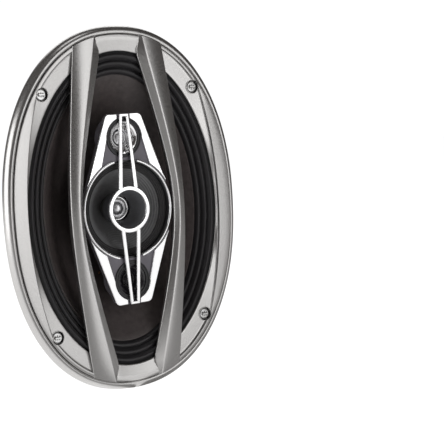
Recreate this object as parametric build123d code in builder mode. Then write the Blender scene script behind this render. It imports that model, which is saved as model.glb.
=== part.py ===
"""Oval 6 x 9 inch four-way coaxial car speaker with its grille.

X runs to the listener's right, Y runs into the speaker and Z is up. The origin is the centre of the
mounting-screw pattern, on the rear face of the basket flange, which seats on the panel at y = 0.
"""
from build123d import *
from math import asin, atan2, cos, degrees, hypot, pi, radians, sin
import os

os.makedirs("parts", exist_ok=True)

# ---------------------------------------------------------------- driving dimensions, mm
# Mounting pattern and panel side
hole_pitch_x = 122.0
hole_pitch_z = 167.0
flange_margin_w = 7.9
flange_margin_h = 8.4
flange_thick = 1.5
ear_radius = 8.5
slot_play = 0.8
slot_travel = 2.5

# Grille: width over height of the opening and of the rabbet, and their gaps to the holes and ears
opening_aspect = 0.6861
hole_gap = 9.13
rabbet_aspect = 0.7173
ear_gap = 1.18
grille_exponent = 2.2
trim_depth = 6.0
lip_inset_w = 3.5
lip_inset_h = 3.8
lip_wall = 2.0
rabbet_wall = 2.7
rabbet_play = 0.1
plate_lift = 1.5
plate_thick_front = 2.0
band_width = 2.5
band_height = 1.6
rail_height = 2.0
rail_reveal = 1.5
rail_end_reach = 5.7
rail_end_drop = 4.5
facet_half_w = 14.3
parting_gap = 0.4
facet_lift = 0.2
trim_shoulder = 0.6
trim_lean = 0.3

# Spars: distance from the centre line and depth of each edge, at the middle and at the ends
spar_play = 0.8
spar_knee = 40.0
spar_foot_width = 3.1
spar_width = 9.6
spar_foot_mid_y = -9.2
spar_foot_end = (13.4, -6.2)
spar_ridge_mid_y = -11.8
spar_ridge_end = (18.5, -8.0)
spar_outer_mid_y = -9.0
spar_outer_end = (34.7, -5.8)
spar_overrun = 0.2
spar_sections = 9
seat_length = 16.2
seat_gap = 0.6

# Mounting screws
screw_head_radius = 4.0
screw_head_thick = 2.2
screw_shank_radius = 2.1
screw_neck_radius = 1.7
screw_length = 25.0
screw_tip_length = 4.0
screw_tip_taper = 25.0
screw_head_round = 0.9
cross_length = 4.4
cross_width = 1.0
cross_depth = 1.3
recess_play = 0.7
recess_lift = 0.8
screw_hole_play = 0.3
boss_wall = 0.5

# Woofer
roll_reveal_w = 1.7
roll_reveal_h = 1.6
roll_width_w = 12.6
roll_width_h = 14.4
cone_rim_y = 2.4
cone_neck_y = 36.0
cone_wall = 1.0
surround_thick = 1.0
surround_lip_width = 4.6
surround_lip_thick = 0.45
gasket_width = 4.2
gasket_play = 0.4
gasket_land = 3.0
glue_play = 0.05
web_inset = 1.2
web_wall = 0.5
rim_overlap = 1.5
former_radius = 16.0
former_wall = 0.3
winding_thick = 0.8
winding_length = 12.0
winding_offset = 1.5
spider_radius = 50.0
spider_neck_y = 42.0
spider_thick = 0.8
spider_rim = 5.0
ledge_width = 4.0

# Basket and motor
basket_wall = 1.5
bowl_play = 0.8
bowl_rim_y = 8.0
ledge_y = 36.6
seat_y = 50.0
seat_radius = 46.0
arm_count = 8
arm_width = 15.0
window_reveal = 5.0
window_margin = 7.0
plate_thick = 5.0
plate_radius = 45.0
coil_gap = 0.6
magnet_radius = 50.0
magnet_bore = 24.0
magnet_thick = 17.0
back_plate_thick = 6.0
pole_gap = 0.7
vent_radius = 1.5
vent_inset = 4.5
vent_count = 3
plate_chamfer = 0.6
magnet_chamfer = 0.8
back_plate_chamfer = 1.2

# Centre module
post_radius = 6.0
stud_radius = 2.5
nut_across_flats = 8.0
nut_thick = 3.5
nut_recess = 4.2
cup_gap = 0.7
module_margin = 2.9
corner_drop = 2.6
corner_cut = 3.0
cap_gap = 1.3
pod_slot = 0.3
blade_tip_angle = 27.7
blade_root_angle = 57.8
blade_root_reach = 1.0
module_front = -8.0
housing_front = -6.4
housing_thick = 2.4
ring_width = 2.1
ring_reveal = 0.4
ring_gap = 1.5
ring_clearance = 0.5
pod_radius = 14.0
pod_wall = 1.0
pod_rear_y = 8.0
ladder_end_w = 3.7
ladder_root_w = 7.8
ladder_root_z = 16.0
ladder_rail_end = 2.4
ladder_rail_root = 3.2
ladder_cap = 2.0
ladder_front = -9.6
ladder_thick = 1.6
hub_outer = 16.6
hub_inner = 13.4

# Midrange
mid_rim_radius = 33.6
mid_wall = 1.2
mid_rim_y = 1.0
mid_neck_radius = 14.5
mid_floor_y = 23.0
mid_roll_width = 4.6
mid_cone_front = -2.0
mid_cone_rear = 19.5
mid_cone_wall = 0.6
mid_former_radius = 7.0
mid_former_wall = 0.3
mid_former_rear = 29.0
mid_gap_play = 0.4
mid_motor_play = 2.7
mid_motor_rear = 35.0
mid_gap_floor = 31.5

# Tweeter in the middle
horn_play = 0.2
horn_throat_y = 6.6
horn_wall = 1.0
tweeter_ring_width = 2.2
tweeter_ring_thick = 1.2
dome_radius = 6.4
dome_height = 3.2
dome_wall = 0.5
dome_roll = 0.6
dome_clearance = 0.35
tweeter_motor_wall = 1.1
tweeter_motor_rear = 13.2
dome_lift = 2.4

# Pod tweeters
pod_ring_inner = 11.2
dish_depth = 6.0
dish_wall = 0.8
small_dome_radius = 4.8
small_dome_height = 2.0
element_radius = 9.0
element_thick = 5.0

# Terminals
board_width = 38.0
board_height = 15.0
board_thick = 3.0
board_reach = 1.6
board_tab_margin = 3.0
blade_length = 12.0
wide_tab = 6.3
narrow_tab = 4.8
tab_thick = 0.8
tab_spacing = 23.0
rivet_radius = 2.0
rivet_head = 3.4
rivet_head_thick = 0.8
lead_radius = 0.6
lead_cone_z = 46.0
lead_bend = 2.5
capacitor_radius = 5.0
capacitor_length = 14.0

# ---------------------------------------------------------------- sizes that follow from them
# Depths of the grille's plate, from the flange forwards
plate_rear = -flange_thick - plate_lift
plate_front = plate_rear - plate_thick_front
rabbet_depth = rabbet_play - plate_rear
recess_floor = -flange_thick - recess_lift
# Ovals: the opening passes inside the mounting holes and the rabbet outside the ears about them
hole_reach = hypot(hole_pitch_x, hole_pitch_z) / 2
opening_half_h = (1 - hole_gap / hole_reach) * hypot(hole_pitch_x / opening_aspect, hole_pitch_z) / 2
opening_half_w = opening_aspect * opening_half_h
rabbet_sum = (hole_pitch_x / rabbet_aspect) ** grille_exponent + hole_pitch_z**grille_exponent
rabbet_half_h = (1 + (ear_radius + ear_gap) / hole_reach) * rabbet_sum ** (1 / grille_exponent) / 2
grille_half_h = rabbet_half_h + rabbet_wall
grille_half_w = rabbet_aspect * rabbet_half_h + rabbet_wall
roll_half_w = opening_half_w - roll_reveal_w
roll_half_h = opening_half_h - roll_reveal_h
flange_half_w = roll_half_w + flange_margin_w
flange_half_h = roll_half_h + flange_margin_h
cone_half_w = roll_half_w - roll_width_w
cone_half_h = roll_half_h - roll_width_h
# Round fits
recess_radius = screw_head_radius + recess_play
boss_radius = recess_radius + boss_wall
screw_hole_radius = screw_shank_radius + screw_hole_play
slot_width = 2 * screw_shank_radius + slot_play
pole_radius = former_radius - former_wall - pole_gap
ledge_radius = spider_radius + ledge_width
mid_pole_radius = mid_former_radius - mid_former_wall - mid_gap_play
mid_gap_outer = mid_former_radius + 2 * mid_gap_play
mid_motor_radius = former_radius - former_wall - mid_motor_play
mid_cone_radius = mid_rim_radius - mid_roll_width
tweeter_ring_inner = dome_radius + dome_roll
tweeter_ring_outer = tweeter_ring_inner + tweeter_ring_width
horn_throat_radius = tweeter_ring_outer + horn_play
tweeter_motor_radius = horn_throat_radius + tweeter_motor_wall
dish_throat_radius = small_dome_radius + dome_roll
# Centre module, from the midrange's rim outwards
ring_inner = mid_rim_radius + ring_reveal
ring_outer = ring_inner + ring_width
ring_edge = ring_outer + ring_clearance
pod_z = mid_rim_radius + mid_wall + cup_gap + pod_radius + pod_wall
module_half_h = pod_z + pod_radius + module_margin
module_corner_x = pod_radius + cup_gap
module_corner_z = module_half_h - corner_drop
blade_tip_x = ring_edge * cos(radians(blade_tip_angle))
blade_tip_z = ring_edge * sin(radians(blade_tip_angle))
blade_root_x = (ring_edge + blade_root_reach) * cos(radians(blade_root_angle))
blade_root_z = (ring_edge + blade_root_reach) * sin(radians(blade_root_angle))
spar_foot_mid = (ring_outer + spar_play, spar_foot_mid_y)
spar_ridge_mid = (spar_foot_mid[0] + spar_foot_width, spar_ridge_mid_y)
spar_outer_mid = (spar_foot_mid[0] + spar_width, spar_outer_mid_y)

OVAL_POINTS = 32


def front(y):
    """Plane across the speaker at depth y, facing the listener."""
    return Plane.XZ.offset(-y)


def oval(y, half_w, half_h, exponent=2.0):
    """Oval face at depth y. An exponent of 2 is an ellipse, and a larger one is squarer."""
    points = []
    for step in range(OVAL_POINTS):
        turn = 2 * pi * step / OVAL_POINTS
        c, s = cos(turn), sin(turn)
        x = half_w * abs(c) ** (2 / exponent) * (1 if c > 0 else -1)
        z = half_h * abs(s) ** (2 / exponent) * (1 if s > 0 else -1)
        points.append((x, z))
    with BuildSketch(front(y)) as outline:
        with BuildLine():
            Spline(*points, periodic=True)
        make_face()
    return outline.sketch


def grille_oval(y, inset):
    """Oval that follows the grille's outline at a constant inset."""
    return oval(y, grille_half_w - inset, grille_half_h - inset, grille_exponent)


def spar_edge(mid, end, z):
    """Place (x, y) of a spar's edge at height z: rounded at the middle, straighter at the ends."""
    bow = (hypot(1, z / spar_knee) - 1) / (hypot(1, spar_half_h / spar_knee) - 1)
    rise = (z / spar_half_h) ** 2
    return mid[0] + (end[0] - mid[0]) * bow, mid[1] + (end[1] - mid[1]) * rise


def side_plane(z):
    """Plane through the axis at height z, for profiles that are revolved about that axis."""
    return Plane((0, 0, z), x_dir=(1, 0, 0), z_dir=(0, 0, 1))


def axis_at(z):
    """Axis into the speaker at height z."""
    return Axis((0, 0, z), (0, 1, 0))


def finish(piece, name):
    """Name a finished piece and write its file."""
    piece.part.label = name
    export_step(piece.part, f"parts/{name}.step")


# ---------------------------------------------------------------- trim ring
# The outer moulding. Its flank is convex, its lip laps over the grille frame and its rear edge
# meets the panel.
lip_half_w = grille_half_w - lip_inset_w
lip_half_h = grille_half_h - lip_inset_h
lip_inner_w = lip_half_w - lip_wall
lip_inner_h = lip_half_h - lip_wall
with BuildPart() as trim_ring:
    loft(
        sections=[
            grille_oval(0, 0),
            oval(-trim_shoulder * trim_depth, grille_half_w - trim_lean * lip_inset_w,
                 grille_half_h - trim_lean * lip_inset_h, grille_exponent),
            oval(-trim_depth, lip_half_w, lip_half_h, grille_exponent),
        ]
    )
    extrude(oval(0, lip_inner_w, lip_inner_h, grille_exponent), amount=trim_depth, mode=Mode.SUBTRACT)
    extrude(grille_oval(0, rabbet_wall), amount=rabbet_depth, mode=Mode.SUBTRACT)
finish(trim_ring, "trim_ring")

# ---------------------------------------------------------------- grille frame
# One moulding: a plate with the oval opening, a raised band, two crescent side rails, a sloping
# facet at each end and a rear ledge that the trim ring's lip holds down.
frame_half_w = lip_inner_w - parting_gap
frame_half_h = lip_inner_h - parting_gap
rail_mid_x = opening_half_w + rail_reveal
rail_end_x = hole_pitch_x / 2 + rail_end_reach
rail_end_z = hole_pitch_z / 2 - rail_end_drop
rail_sagitta = rail_mid_x - rail_end_x
rail_radius = (rail_end_z**2 + rail_sagitta**2) / (2 * rail_sagitta)
spar_half_h = frame_half_h + spar_overrun
seat_start_z = opening_half_h - seat_length
gasket_half_w = roll_half_w + gasket_play + gasket_width
gasket_half_h = roll_half_h + gasket_play + gasket_width
ledge_rear = -flange_thick - 0.1
with BuildPart() as grille_frame:
    extrude(oval(plate_rear, frame_half_w, frame_half_h, grille_exponent), amount=plate_rear - plate_front)
    extrude(grille_oval(ledge_rear, rabbet_wall + parting_gap), amount=ledge_rear - plate_rear)
    extrude(
        oval(ledge_rear, gasket_half_w + gasket_land, gasket_half_h + gasket_land, grille_exponent),
        amount=ledge_rear - plate_rear,
        mode=Mode.SUBTRACT,
    )
    with BuildSketch(front(plate_front)):
        add(oval(plate_front, frame_half_w, frame_half_h, grille_exponent))
        add(
            oval(plate_front, frame_half_w - band_width, frame_half_h - band_width, grille_exponent),
            mode=Mode.SUBTRACT,
        )
    extrude(amount=band_height)
    for side in (-1, 1):
        with BuildSketch(front(plate_front)):
            add(oval(plate_front, frame_half_w, frame_half_h, grille_exponent))
            with Locations((side * (rail_mid_x - rail_radius), 0)):
                Circle(rail_radius, mode=Mode.SUBTRACT)
            with Locations((-side * grille_half_w, 0)):
                Rectangle(2 * grille_half_w, 2 * grille_half_h, mode=Mode.SUBTRACT)
        extrude(amount=rail_height)
    for end in (-1, 1):
        with BuildSketch(Plane.YZ.offset(-facet_half_w)):
            with BuildLine():
                Polyline(
                    (plate_front + facet_lift, end * opening_half_h),
                    (plate_front, end * opening_half_h),
                    (plate_front - band_height, end * (frame_half_h - band_width)),
                    (plate_front + facet_lift, end * (frame_half_h - band_width)),
                    close=True,
                )
            make_face()
        extrude(amount=2 * facet_half_w)
    with BuildSketch(front(ledge_rear)):
        with GridLocations(hole_pitch_x, hole_pitch_z, 2, 2):
            Circle(boss_radius)
    extrude(amount=ledge_rear - plate_rear)
    extrude(
        oval(ledge_rear, gasket_half_w + gasket_play, gasket_half_h + gasket_play),
        amount=ledge_rear - plate_rear,
        mode=Mode.SUBTRACT,
    )
    extrude(oval(plate_rear, opening_half_w, opening_half_h), amount=2 * trim_depth, mode=Mode.SUBTRACT)
    with BuildSketch(front(0)):
        with GridLocations(hole_pitch_x, hole_pitch_z, 2, 2):
            Circle(screw_hole_radius)
    extrude(amount=2 * trim_depth, mode=Mode.SUBTRACT)
    with BuildSketch(front(recess_floor)):
        with GridLocations(hole_pitch_x, hole_pitch_z, 2, 2):
            Circle(recess_radius)
    extrude(amount=2 * trim_depth, mode=Mode.SUBTRACT)
    # Seats for the spars' ends
    with BuildSketch(front(plate_front)):
        with BuildLine():
            Polyline(
                (spar_edge(spar_foot_mid, spar_foot_end, seat_start_z)[0] - seat_gap, seat_start_z),
                (spar_foot_end[0] - seat_gap, spar_half_h),
                (spar_outer_end[0] + seat_gap, spar_half_h),
                (spar_edge(spar_outer_mid, spar_outer_end, seat_start_z)[0] + seat_gap, seat_start_z),
                close=True,
            )
        make_face()
        mirror(about=Plane.XZ)
        mirror(about=Plane.YZ)
    extrude(amount=trim_depth, mode=Mode.SUBTRACT)
finish(grille_frame, "grille_frame")

# ---------------------------------------------------------------- spars
# Two bowed bars across the opening. Each has a wide outer face, a ridge and a narrow inner face,
# and its ends lie on the frame's plate.
for side, name in ((-1, "spar_left"), (1, "spar_right")):
    with BuildPart() as spar:
        for station in range(spar_sections):
            z = spar_half_h * (2 * station / (spar_sections - 1) - 1)
            foot_x, foot_y = spar_edge(spar_foot_mid, spar_foot_end, z)
            ridge_x, ridge_y = spar_edge(spar_ridge_mid, spar_ridge_end, z)
            outer_x, outer_y = spar_edge(spar_outer_mid, spar_outer_end, z)
            with BuildSketch(Plane.XY.offset(z)):
                with BuildLine():
                    Polyline(
                        (side * foot_x, plate_front),
                        (side * foot_x, foot_y),
                        (side * ridge_x, ridge_y),
                        (side * outer_x, outer_y),
                        (side * outer_x, plate_front),
                        close=True,
                    )
                make_face()
        loft()
        extrude(
            oval(plate_rear, frame_half_w, frame_half_h, grille_exponent),
            amount=4 * trim_depth,
            mode=Mode.INTERSECT,
        )
    finish(spar, name)

# ---------------------------------------------------------------- mounting screws
# Cross-recessed pan-head tapping screws that go through the grille, the flange slots and the panel.
# A plain neck under the head passes the grille and the flange, and the thread starts behind them.
with BuildPart() as mounting_screws:
    with BuildSketch(front(recess_floor)):
        with GridLocations(hole_pitch_x, hole_pitch_z, 2, 2):
            Circle(screw_head_radius)
    extrude(amount=screw_head_thick)
    fillet(mounting_screws.edges().filter_by(GeomType.CIRCLE).group_by(Axis.Y)[0], radius=screw_head_round)
    with BuildSketch(front(recess_floor)):
        with GridLocations(hole_pitch_x, hole_pitch_z, 2, 2):
            Circle(screw_neck_radius)
    extrude(amount=recess_floor)
    with BuildSketch(front(0)):
        with GridLocations(hole_pitch_x, hole_pitch_z, 2, 2):
            Circle(screw_shank_radius)
    extrude(amount=-(recess_floor + screw_length - screw_tip_length))
    with BuildSketch(front(recess_floor + screw_length - screw_tip_length)):
        with GridLocations(hole_pitch_x, hole_pitch_z, 2, 2):
            Circle(screw_shank_radius)
    extrude(amount=-screw_tip_length, taper=screw_tip_taper)
    with BuildSketch(front(recess_floor - screw_head_thick)):
        with GridLocations(hole_pitch_x, hole_pitch_z, 2, 2):
            Rectangle(cross_length, cross_width)
            Rectangle(cross_width, cross_length)
    extrude(amount=-cross_depth, mode=Mode.SUBTRACT)
finish(mounting_screws, "mounting_screws")

# ---------------------------------------------------------------- basket
# Pressed steel: flange with four slotted ears, oval bowl with eight windows, spider ledge and
# motor seat, and a tab that carries the terminal board.
bowl_half_w = roll_half_w + bowl_play
bowl_half_h = roll_half_h + bowl_play
ear_angle = degrees(atan2(hole_pitch_z, hole_pitch_x))
ear_span = hypot(hole_pitch_x, hole_pitch_z)
tab_z = -(ledge_radius + board_height / 2 + board_reach)
coil_bore = former_radius + winding_thick + coil_gap
with BuildPart() as basket:
    with BuildSketch(front(0)):
        add(oval(0, flange_half_w, flange_half_h))
        for angle in (ear_angle, -ear_angle):
            SlotCenterToCenter(ear_span, 2 * ear_radius, rotation=angle)
    extrude(amount=flange_thick)
    extrude(oval(bowl_rim_y, bowl_half_w, bowl_half_h), amount=bowl_rim_y)
    loft(sections=[oval(bowl_rim_y, bowl_half_w, bowl_half_h), oval(ledge_y, ledge_radius, ledge_radius)])
    loft(sections=[oval(ledge_y, ledge_radius, ledge_radius), oval(seat_y, seat_radius, seat_radius)])
    extrude(
        oval(bowl_rim_y, bowl_half_w - basket_wall, bowl_half_h - basket_wall),
        amount=bowl_rim_y + 2 * flange_thick,
        mode=Mode.SUBTRACT,
    )
    loft(
        sections=[
            oval(bowl_rim_y, bowl_half_w - basket_wall, bowl_half_h - basket_wall),
            oval(ledge_y, ledge_radius - basket_wall, ledge_radius - basket_wall),
        ],
        mode=Mode.SUBTRACT,
    )
    with BuildSketch(Plane.XY):
        with BuildLine():
            Polyline(
                (0, ledge_y - basket_wall),
                (spider_radius - ledge_width, ledge_y - basket_wall),
                (spider_radius - ledge_width, ledge_y + basket_wall),
                (seat_radius - ledge_width, seat_y - basket_wall),
                (coil_bore, seat_y - basket_wall),
                (coil_bore, seat_y + basket_wall),
                (0, seat_y + basket_wall),
                close=True,
            )
        make_face()
    revolve(axis=Axis.Y, mode=Mode.SUBTRACT)
    # Windows between the arms
    with BuildSketch(front(ledge_y)):
        add(oval(ledge_y, bowl_half_w - window_margin, bowl_half_h - window_margin))
        Circle(ledge_radius + window_reveal, mode=Mode.SUBTRACT)
        with PolarLocations(0, arm_count, start_angle=180 / arm_count):
            Rectangle(4 * bowl_half_h, arm_width, mode=Mode.SUBTRACT)
    extrude(amount=ledge_y - 2, mode=Mode.SUBTRACT)
    # Slots for the mounting screws
    with BuildSketch(front(0)):
        with GridLocations(hole_pitch_x, hole_pitch_z, 2, 2):
            SlotOverall(slot_width + slot_travel, slot_width)
    extrude(amount=2 * flange_thick, mode=Mode.SUBTRACT)
    # Terminal tab
    with BuildSketch(front(ledge_y + basket_wall)):
        with Locations((0, tab_z + board_tab_margin)):
            Rectangle(board_width, board_height + 2 * board_tab_margin)
        Circle(ledge_radius - basket_wall, mode=Mode.SUBTRACT)
        with Locations((-tab_spacing / 2, tab_z), (tab_spacing / 2, tab_z)):
            Rectangle(wide_tab + 2, 5, mode=Mode.SUBTRACT)
        with Locations((0, tab_z)):
            Circle(rivet_radius, mode=Mode.SUBTRACT)
    extrude(amount=basket_wall)
finish(basket, "basket")

# ---------------------------------------------------------------- front gasket
# Die-cut ring that covers the surround's glued lip.
gasket_rear = -flange_thick - surround_lip_thick
with BuildPart() as front_gasket:
    with BuildSketch(front(gasket_rear)):
        add(oval(gasket_rear, gasket_half_w, gasket_half_h))
        add(oval(gasket_rear, gasket_half_w - gasket_width, gasket_half_h - gasket_width), mode=Mode.SUBTRACT)
    extrude(amount=gasket_rear - plate_rear - glue_play)
finish(front_gasket, "front_gasket")

# ---------------------------------------------------------------- woofer surround
# Rubber suspension: a flat lip on the flange and a sloping web down to the cone's rim.
lip_w = roll_half_w + surround_lip_width
lip_h = roll_half_h + surround_lip_width
web_w = roll_half_w - web_inset
web_h = roll_half_h - web_inset
with BuildPart() as woofer_surround:
    with BuildSketch(front(-flange_thick)):
        add(oval(-flange_thick, lip_w, lip_h))
        add(oval(-flange_thick, web_w - web_wall, web_h - web_wall), mode=Mode.SUBTRACT)
    extrude(amount=surround_lip_thick)
    extrude(oval(gasket_rear + surround_thick, web_w, web_h), amount=surround_thick)
    loft(
        sections=[
            oval(gasket_rear + surround_thick, web_w, web_h),
            oval(cone_rim_y, cone_half_w, cone_half_h),
        ]
    )
    loft(
        sections=[
            oval(gasket_rear, web_w - surround_thick, web_h - surround_thick),
            oval(cone_rim_y - surround_thick, cone_half_w - rim_overlap, cone_half_h - rim_overlap),
        ],
        mode=Mode.SUBTRACT,
    )
    extrude(
        oval(cone_rim_y, cone_half_w - rim_overlap, cone_half_h - rim_overlap), amount=4 * surround_thick, mode=Mode.SUBTRACT
    )
finish(woofer_surround, "woofer_surround")

# ---------------------------------------------------------------- woofer cone
neck_radius = former_radius + glue_play
with BuildPart() as woofer_cone:
    loft(
        sections=[
            oval(cone_rim_y, cone_half_w, cone_half_h),
            oval(cone_neck_y, neck_radius + cone_wall, neck_radius + cone_wall),
        ]
    )
    loft(
        sections=[
            oval(cone_rim_y, cone_half_w - 1.4 * cone_wall, cone_half_h - 2.2 * cone_wall),
            oval(cone_neck_y, neck_radius, neck_radius),
        ],
        mode=Mode.SUBTRACT,
    )
finish(woofer_cone, "woofer_cone")

# ---------------------------------------------------------------- woofer voice coil
# The winding sits across the top plate, a little behind its middle.
former_rear_y = seat_y + (plate_thick + winding_length) / 2 + winding_offset
with BuildPart() as voice_coil_former:
    with BuildSketch(front(former_rear_y)):
        Circle(former_radius)
        Circle(former_radius - former_wall, mode=Mode.SUBTRACT)
    extrude(amount=former_rear_y - cone_neck_y + 2)
finish(voice_coil_former, "voice_coil_former")

with BuildPart() as voice_coil_winding:
    with BuildSketch(front(former_rear_y)):
        Circle(former_radius + winding_thick)
        Circle(former_radius, mode=Mode.SUBTRACT)
    extrude(amount=winding_length)
finish(voice_coil_winding, "voice_coil_winding")

# ---------------------------------------------------------------- spider
# Corrugated cloth disc between the former and the basket ledge, with a slight dish.
with BuildPart() as spider:
    with BuildSketch(Plane.XY):
        with BuildLine():
            Polyline(
                (spider_radius, ledge_y),
                (spider_radius - spider_rim, ledge_y),
                (former_radius, spider_neck_y),
                (former_radius, spider_neck_y - spider_thick),
                (spider_radius - spider_rim, ledge_y - spider_thick),
                (spider_radius, ledge_y - spider_thick),
                close=True,
            )
        make_face()
    revolve(axis=Axis.Y)
finish(spider, "spider")

# ---------------------------------------------------------------- woofer motor
top_plate_rear = seat_y + plate_thick
magnet_rear = top_plate_rear + magnet_thick
motor_rear = magnet_rear + back_plate_thick
with BuildPart() as top_plate:
    with BuildSketch(front(top_plate_rear)):
        Circle(plate_radius)
        Circle(coil_bore, mode=Mode.SUBTRACT)
    extrude(amount=plate_thick)
    chamfer(top_plate.edges().filter_by(GeomType.CIRCLE).sort_by(SortBy.RADIUS)[-2:], length=plate_chamfer)
finish(top_plate, "top_plate")

with BuildPart() as magnet:
    with BuildSketch(front(magnet_rear)):
        Circle(magnet_radius)
        Circle(magnet_bore, mode=Mode.SUBTRACT)
    extrude(amount=magnet_thick)
    chamfer(magnet.edges().filter_by(GeomType.CIRCLE).sort_by(SortBy.RADIUS)[-2:], length=magnet_chamfer)
finish(magnet, "magnet")

with BuildPart() as yoke:
    with BuildSketch(front(motor_rear)):
        Circle(plate_radius)
    extrude(amount=back_plate_thick)
    chamfer(yoke.edges().filter_by(GeomType.CIRCLE), length=back_plate_chamfer)
    with BuildSketch(front(magnet_rear)):
        Circle(pole_radius)
    extrude(amount=magnet_rear - seat_y)
    with BuildSketch(front(motor_rear)):
        Circle(stud_radius)
    extrude(amount=motor_rear - seat_y, mode=Mode.SUBTRACT)
    with BuildSketch(front(motor_rear)):
        Circle(nut_across_flats * 0.9)
    extrude(amount=nut_recess, mode=Mode.SUBTRACT)
    with BuildSketch(front(motor_rear)):
        with PolarLocations(pole_radius - vent_inset, vent_count):
            Circle(vent_radius)
    extrude(amount=motor_rear - seat_y, mode=Mode.SUBTRACT)
finish(yoke, "yoke")

# ---------------------------------------------------------------- centre post and nut
with BuildPart() as centre_post:
    with BuildSketch(Plane.XY):
        with BuildLine():
            Polyline(
                (0, tweeter_motor_rear),
                (stud_radius, tweeter_motor_rear),
                (stud_radius, mid_motor_rear),
                (post_radius, mid_motor_rear),
                (post_radius, seat_y),
                (stud_radius, seat_y),
                (stud_radius, motor_rear - 0.5),
                (0, motor_rear - 0.5),
                close=True,
            )
        make_face()
    revolve(axis=Axis.Y)
finish(centre_post, "centre_post")

with BuildPart() as post_nut:
    with BuildSketch(front(motor_rear - nut_recess + nut_thick)):
        RegularPolygon(nut_across_flats / 2, 6, major_radius=False)
        Circle(stud_radius, mode=Mode.SUBTRACT)
    extrude(amount=nut_thick)
finish(post_nut, "post_nut")

# ---------------------------------------------------------------- module housing
# Dark moulded carrier: a plate with the round midrange window and two cups for the pod tweeters.
housing_rear = housing_front + housing_thick
with BuildPart() as module_housing:
    with BuildSketch(front(housing_rear)):
        with BuildLine():
            Polyline(
                (-module_corner_x + corner_cut, module_half_h),
                (module_corner_x - corner_cut, module_half_h),
                (module_corner_x, module_corner_z),
                (blade_tip_x, blade_tip_z),
                (blade_tip_x, -blade_tip_z),
                (module_corner_x, -module_corner_z),
                (module_corner_x - corner_cut, -module_half_h),
                (-module_corner_x + corner_cut, -module_half_h),
                (-module_corner_x, -module_corner_z),
                (-blade_tip_x, -blade_tip_z),
                (-blade_tip_x, blade_tip_z),
                (-module_corner_x, module_corner_z),
                close=True,
            )
        make_face()
        Circle(ring_outer)
    extrude(amount=housing_thick)
    with BuildSketch(front(pod_rear_y)):
        with Locations((0, pod_z), (0, -pod_z)):
            Circle(pod_radius + pod_wall)
    extrude(amount=pod_rear_y - housing_rear)
    with BuildSketch(front(pod_rear_y - pod_wall)):
        with Locations((0, pod_z), (0, -pod_z)):
            Circle(pod_radius)
    extrude(amount=4 * pod_rear_y, mode=Mode.SUBTRACT)
    with BuildSketch(front(pod_rear_y)):
        Circle(mid_rim_radius + mid_wall)
    extrude(amount=4 * pod_rear_y, mode=Mode.SUBTRACT)
finish(module_housing, "module_housing")

# ---------------------------------------------------------------- chrome blades
# Four blades along the module's long edges, between the midrange ring and the pods.
blade_names = (
    ("blade_upper_right", 1, 1),
    ("blade_upper_left", -1, 1),
    ("blade_lower_right", 1, -1),
    ("blade_lower_left", -1, -1),
)
for name, across, up in blade_names:
    with BuildPart() as blade:
        with BuildSketch(front(housing_front)):
            with BuildLine():
                Polyline(
                    (across * (ladder_end_w + cap_gap), up * module_half_h),
                    (across * (module_corner_x - corner_cut), up * module_half_h),
                    (across * module_corner_x, up * module_corner_z),
                    (across * blade_tip_x, up * blade_tip_z),
                    (across * blade_root_x, up * blade_root_z),
                    (across * pod_radius, up * pod_z),
                    (across * (ladder_end_w + cap_gap), up * pod_z),
                    close=True,
                )
            make_face()
            Circle(ring_edge, mode=Mode.SUBTRACT)
            with Locations((0, up * pod_z)):
                Circle(pod_radius + pod_slot, mode=Mode.SUBTRACT)
        extrude(amount=housing_front - module_front)
    finish(blade, name)

# ---------------------------------------------------------------- midrange ring
# Two chrome arcs round the midrange, open where the ladder crosses.
ring_break = ladder_root_w + ring_gap
for side, name in ((-1, "midrange_ring_left"), (1, "midrange_ring_right")):
    with BuildPart() as arc_ring:
        with BuildSketch(front(housing_front)):
            Circle(ring_outer)
            Circle(ring_inner, mode=Mode.SUBTRACT)
            with Locations((side * (ring_break - ring_outer), 0)):
                Rectangle(2 * ring_outer, 2 * ring_outer, mode=Mode.SUBTRACT)
        extrude(amount=housing_front - module_front)
    finish(arc_ring, name)

# ---------------------------------------------------------------- ladder
# Chrome bridge: two rails that spread towards the middle, end caps and the hub ring.
with BuildPart() as ladder:
    with BuildSketch(front(ladder_front + ladder_thick)):
        for up in (-1, 1):
            with BuildLine():
                Polyline(
                    (-ladder_end_w, up * module_half_h),
                    (ladder_end_w, up * module_half_h),
                    (ladder_root_w, up * ladder_root_z),
                    (ladder_root_w, up * ladder_root_z * 0.7),
                    (-ladder_root_w, up * ladder_root_z * 0.7),
                    (-ladder_root_w, up * ladder_root_z),
                    close=True,
                )
            make_face()
        for up in (-1, 1):
            with BuildLine():
                Polyline(
                    (ladder_rail_end - ladder_end_w, up * (module_half_h - ladder_cap)),
                    (ladder_end_w - ladder_rail_end, up * (module_half_h - ladder_cap)),
                    (ladder_root_w - ladder_rail_root, up * ladder_root_z * 0.6),
                    (ladder_rail_root - ladder_root_w, up * ladder_root_z * 0.6),
                    close=True,
                )
            make_face(mode=Mode.SUBTRACT)
        Circle(hub_outer)
        Circle(hub_inner, mode=Mode.SUBTRACT)
    extrude(amount=ladder_thick)
    # Feet that stand on the housing plate
    with BuildSketch(front(housing_front)):
        with Locations((0, module_half_h - ladder_cap / 2), (0, ladder_cap / 2 - module_half_h)):
            Rectangle(2 * ladder_end_w, ladder_cap)
    extrude(amount=housing_front - ladder_front - ladder_thick)
finish(ladder, "ladder")

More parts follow.
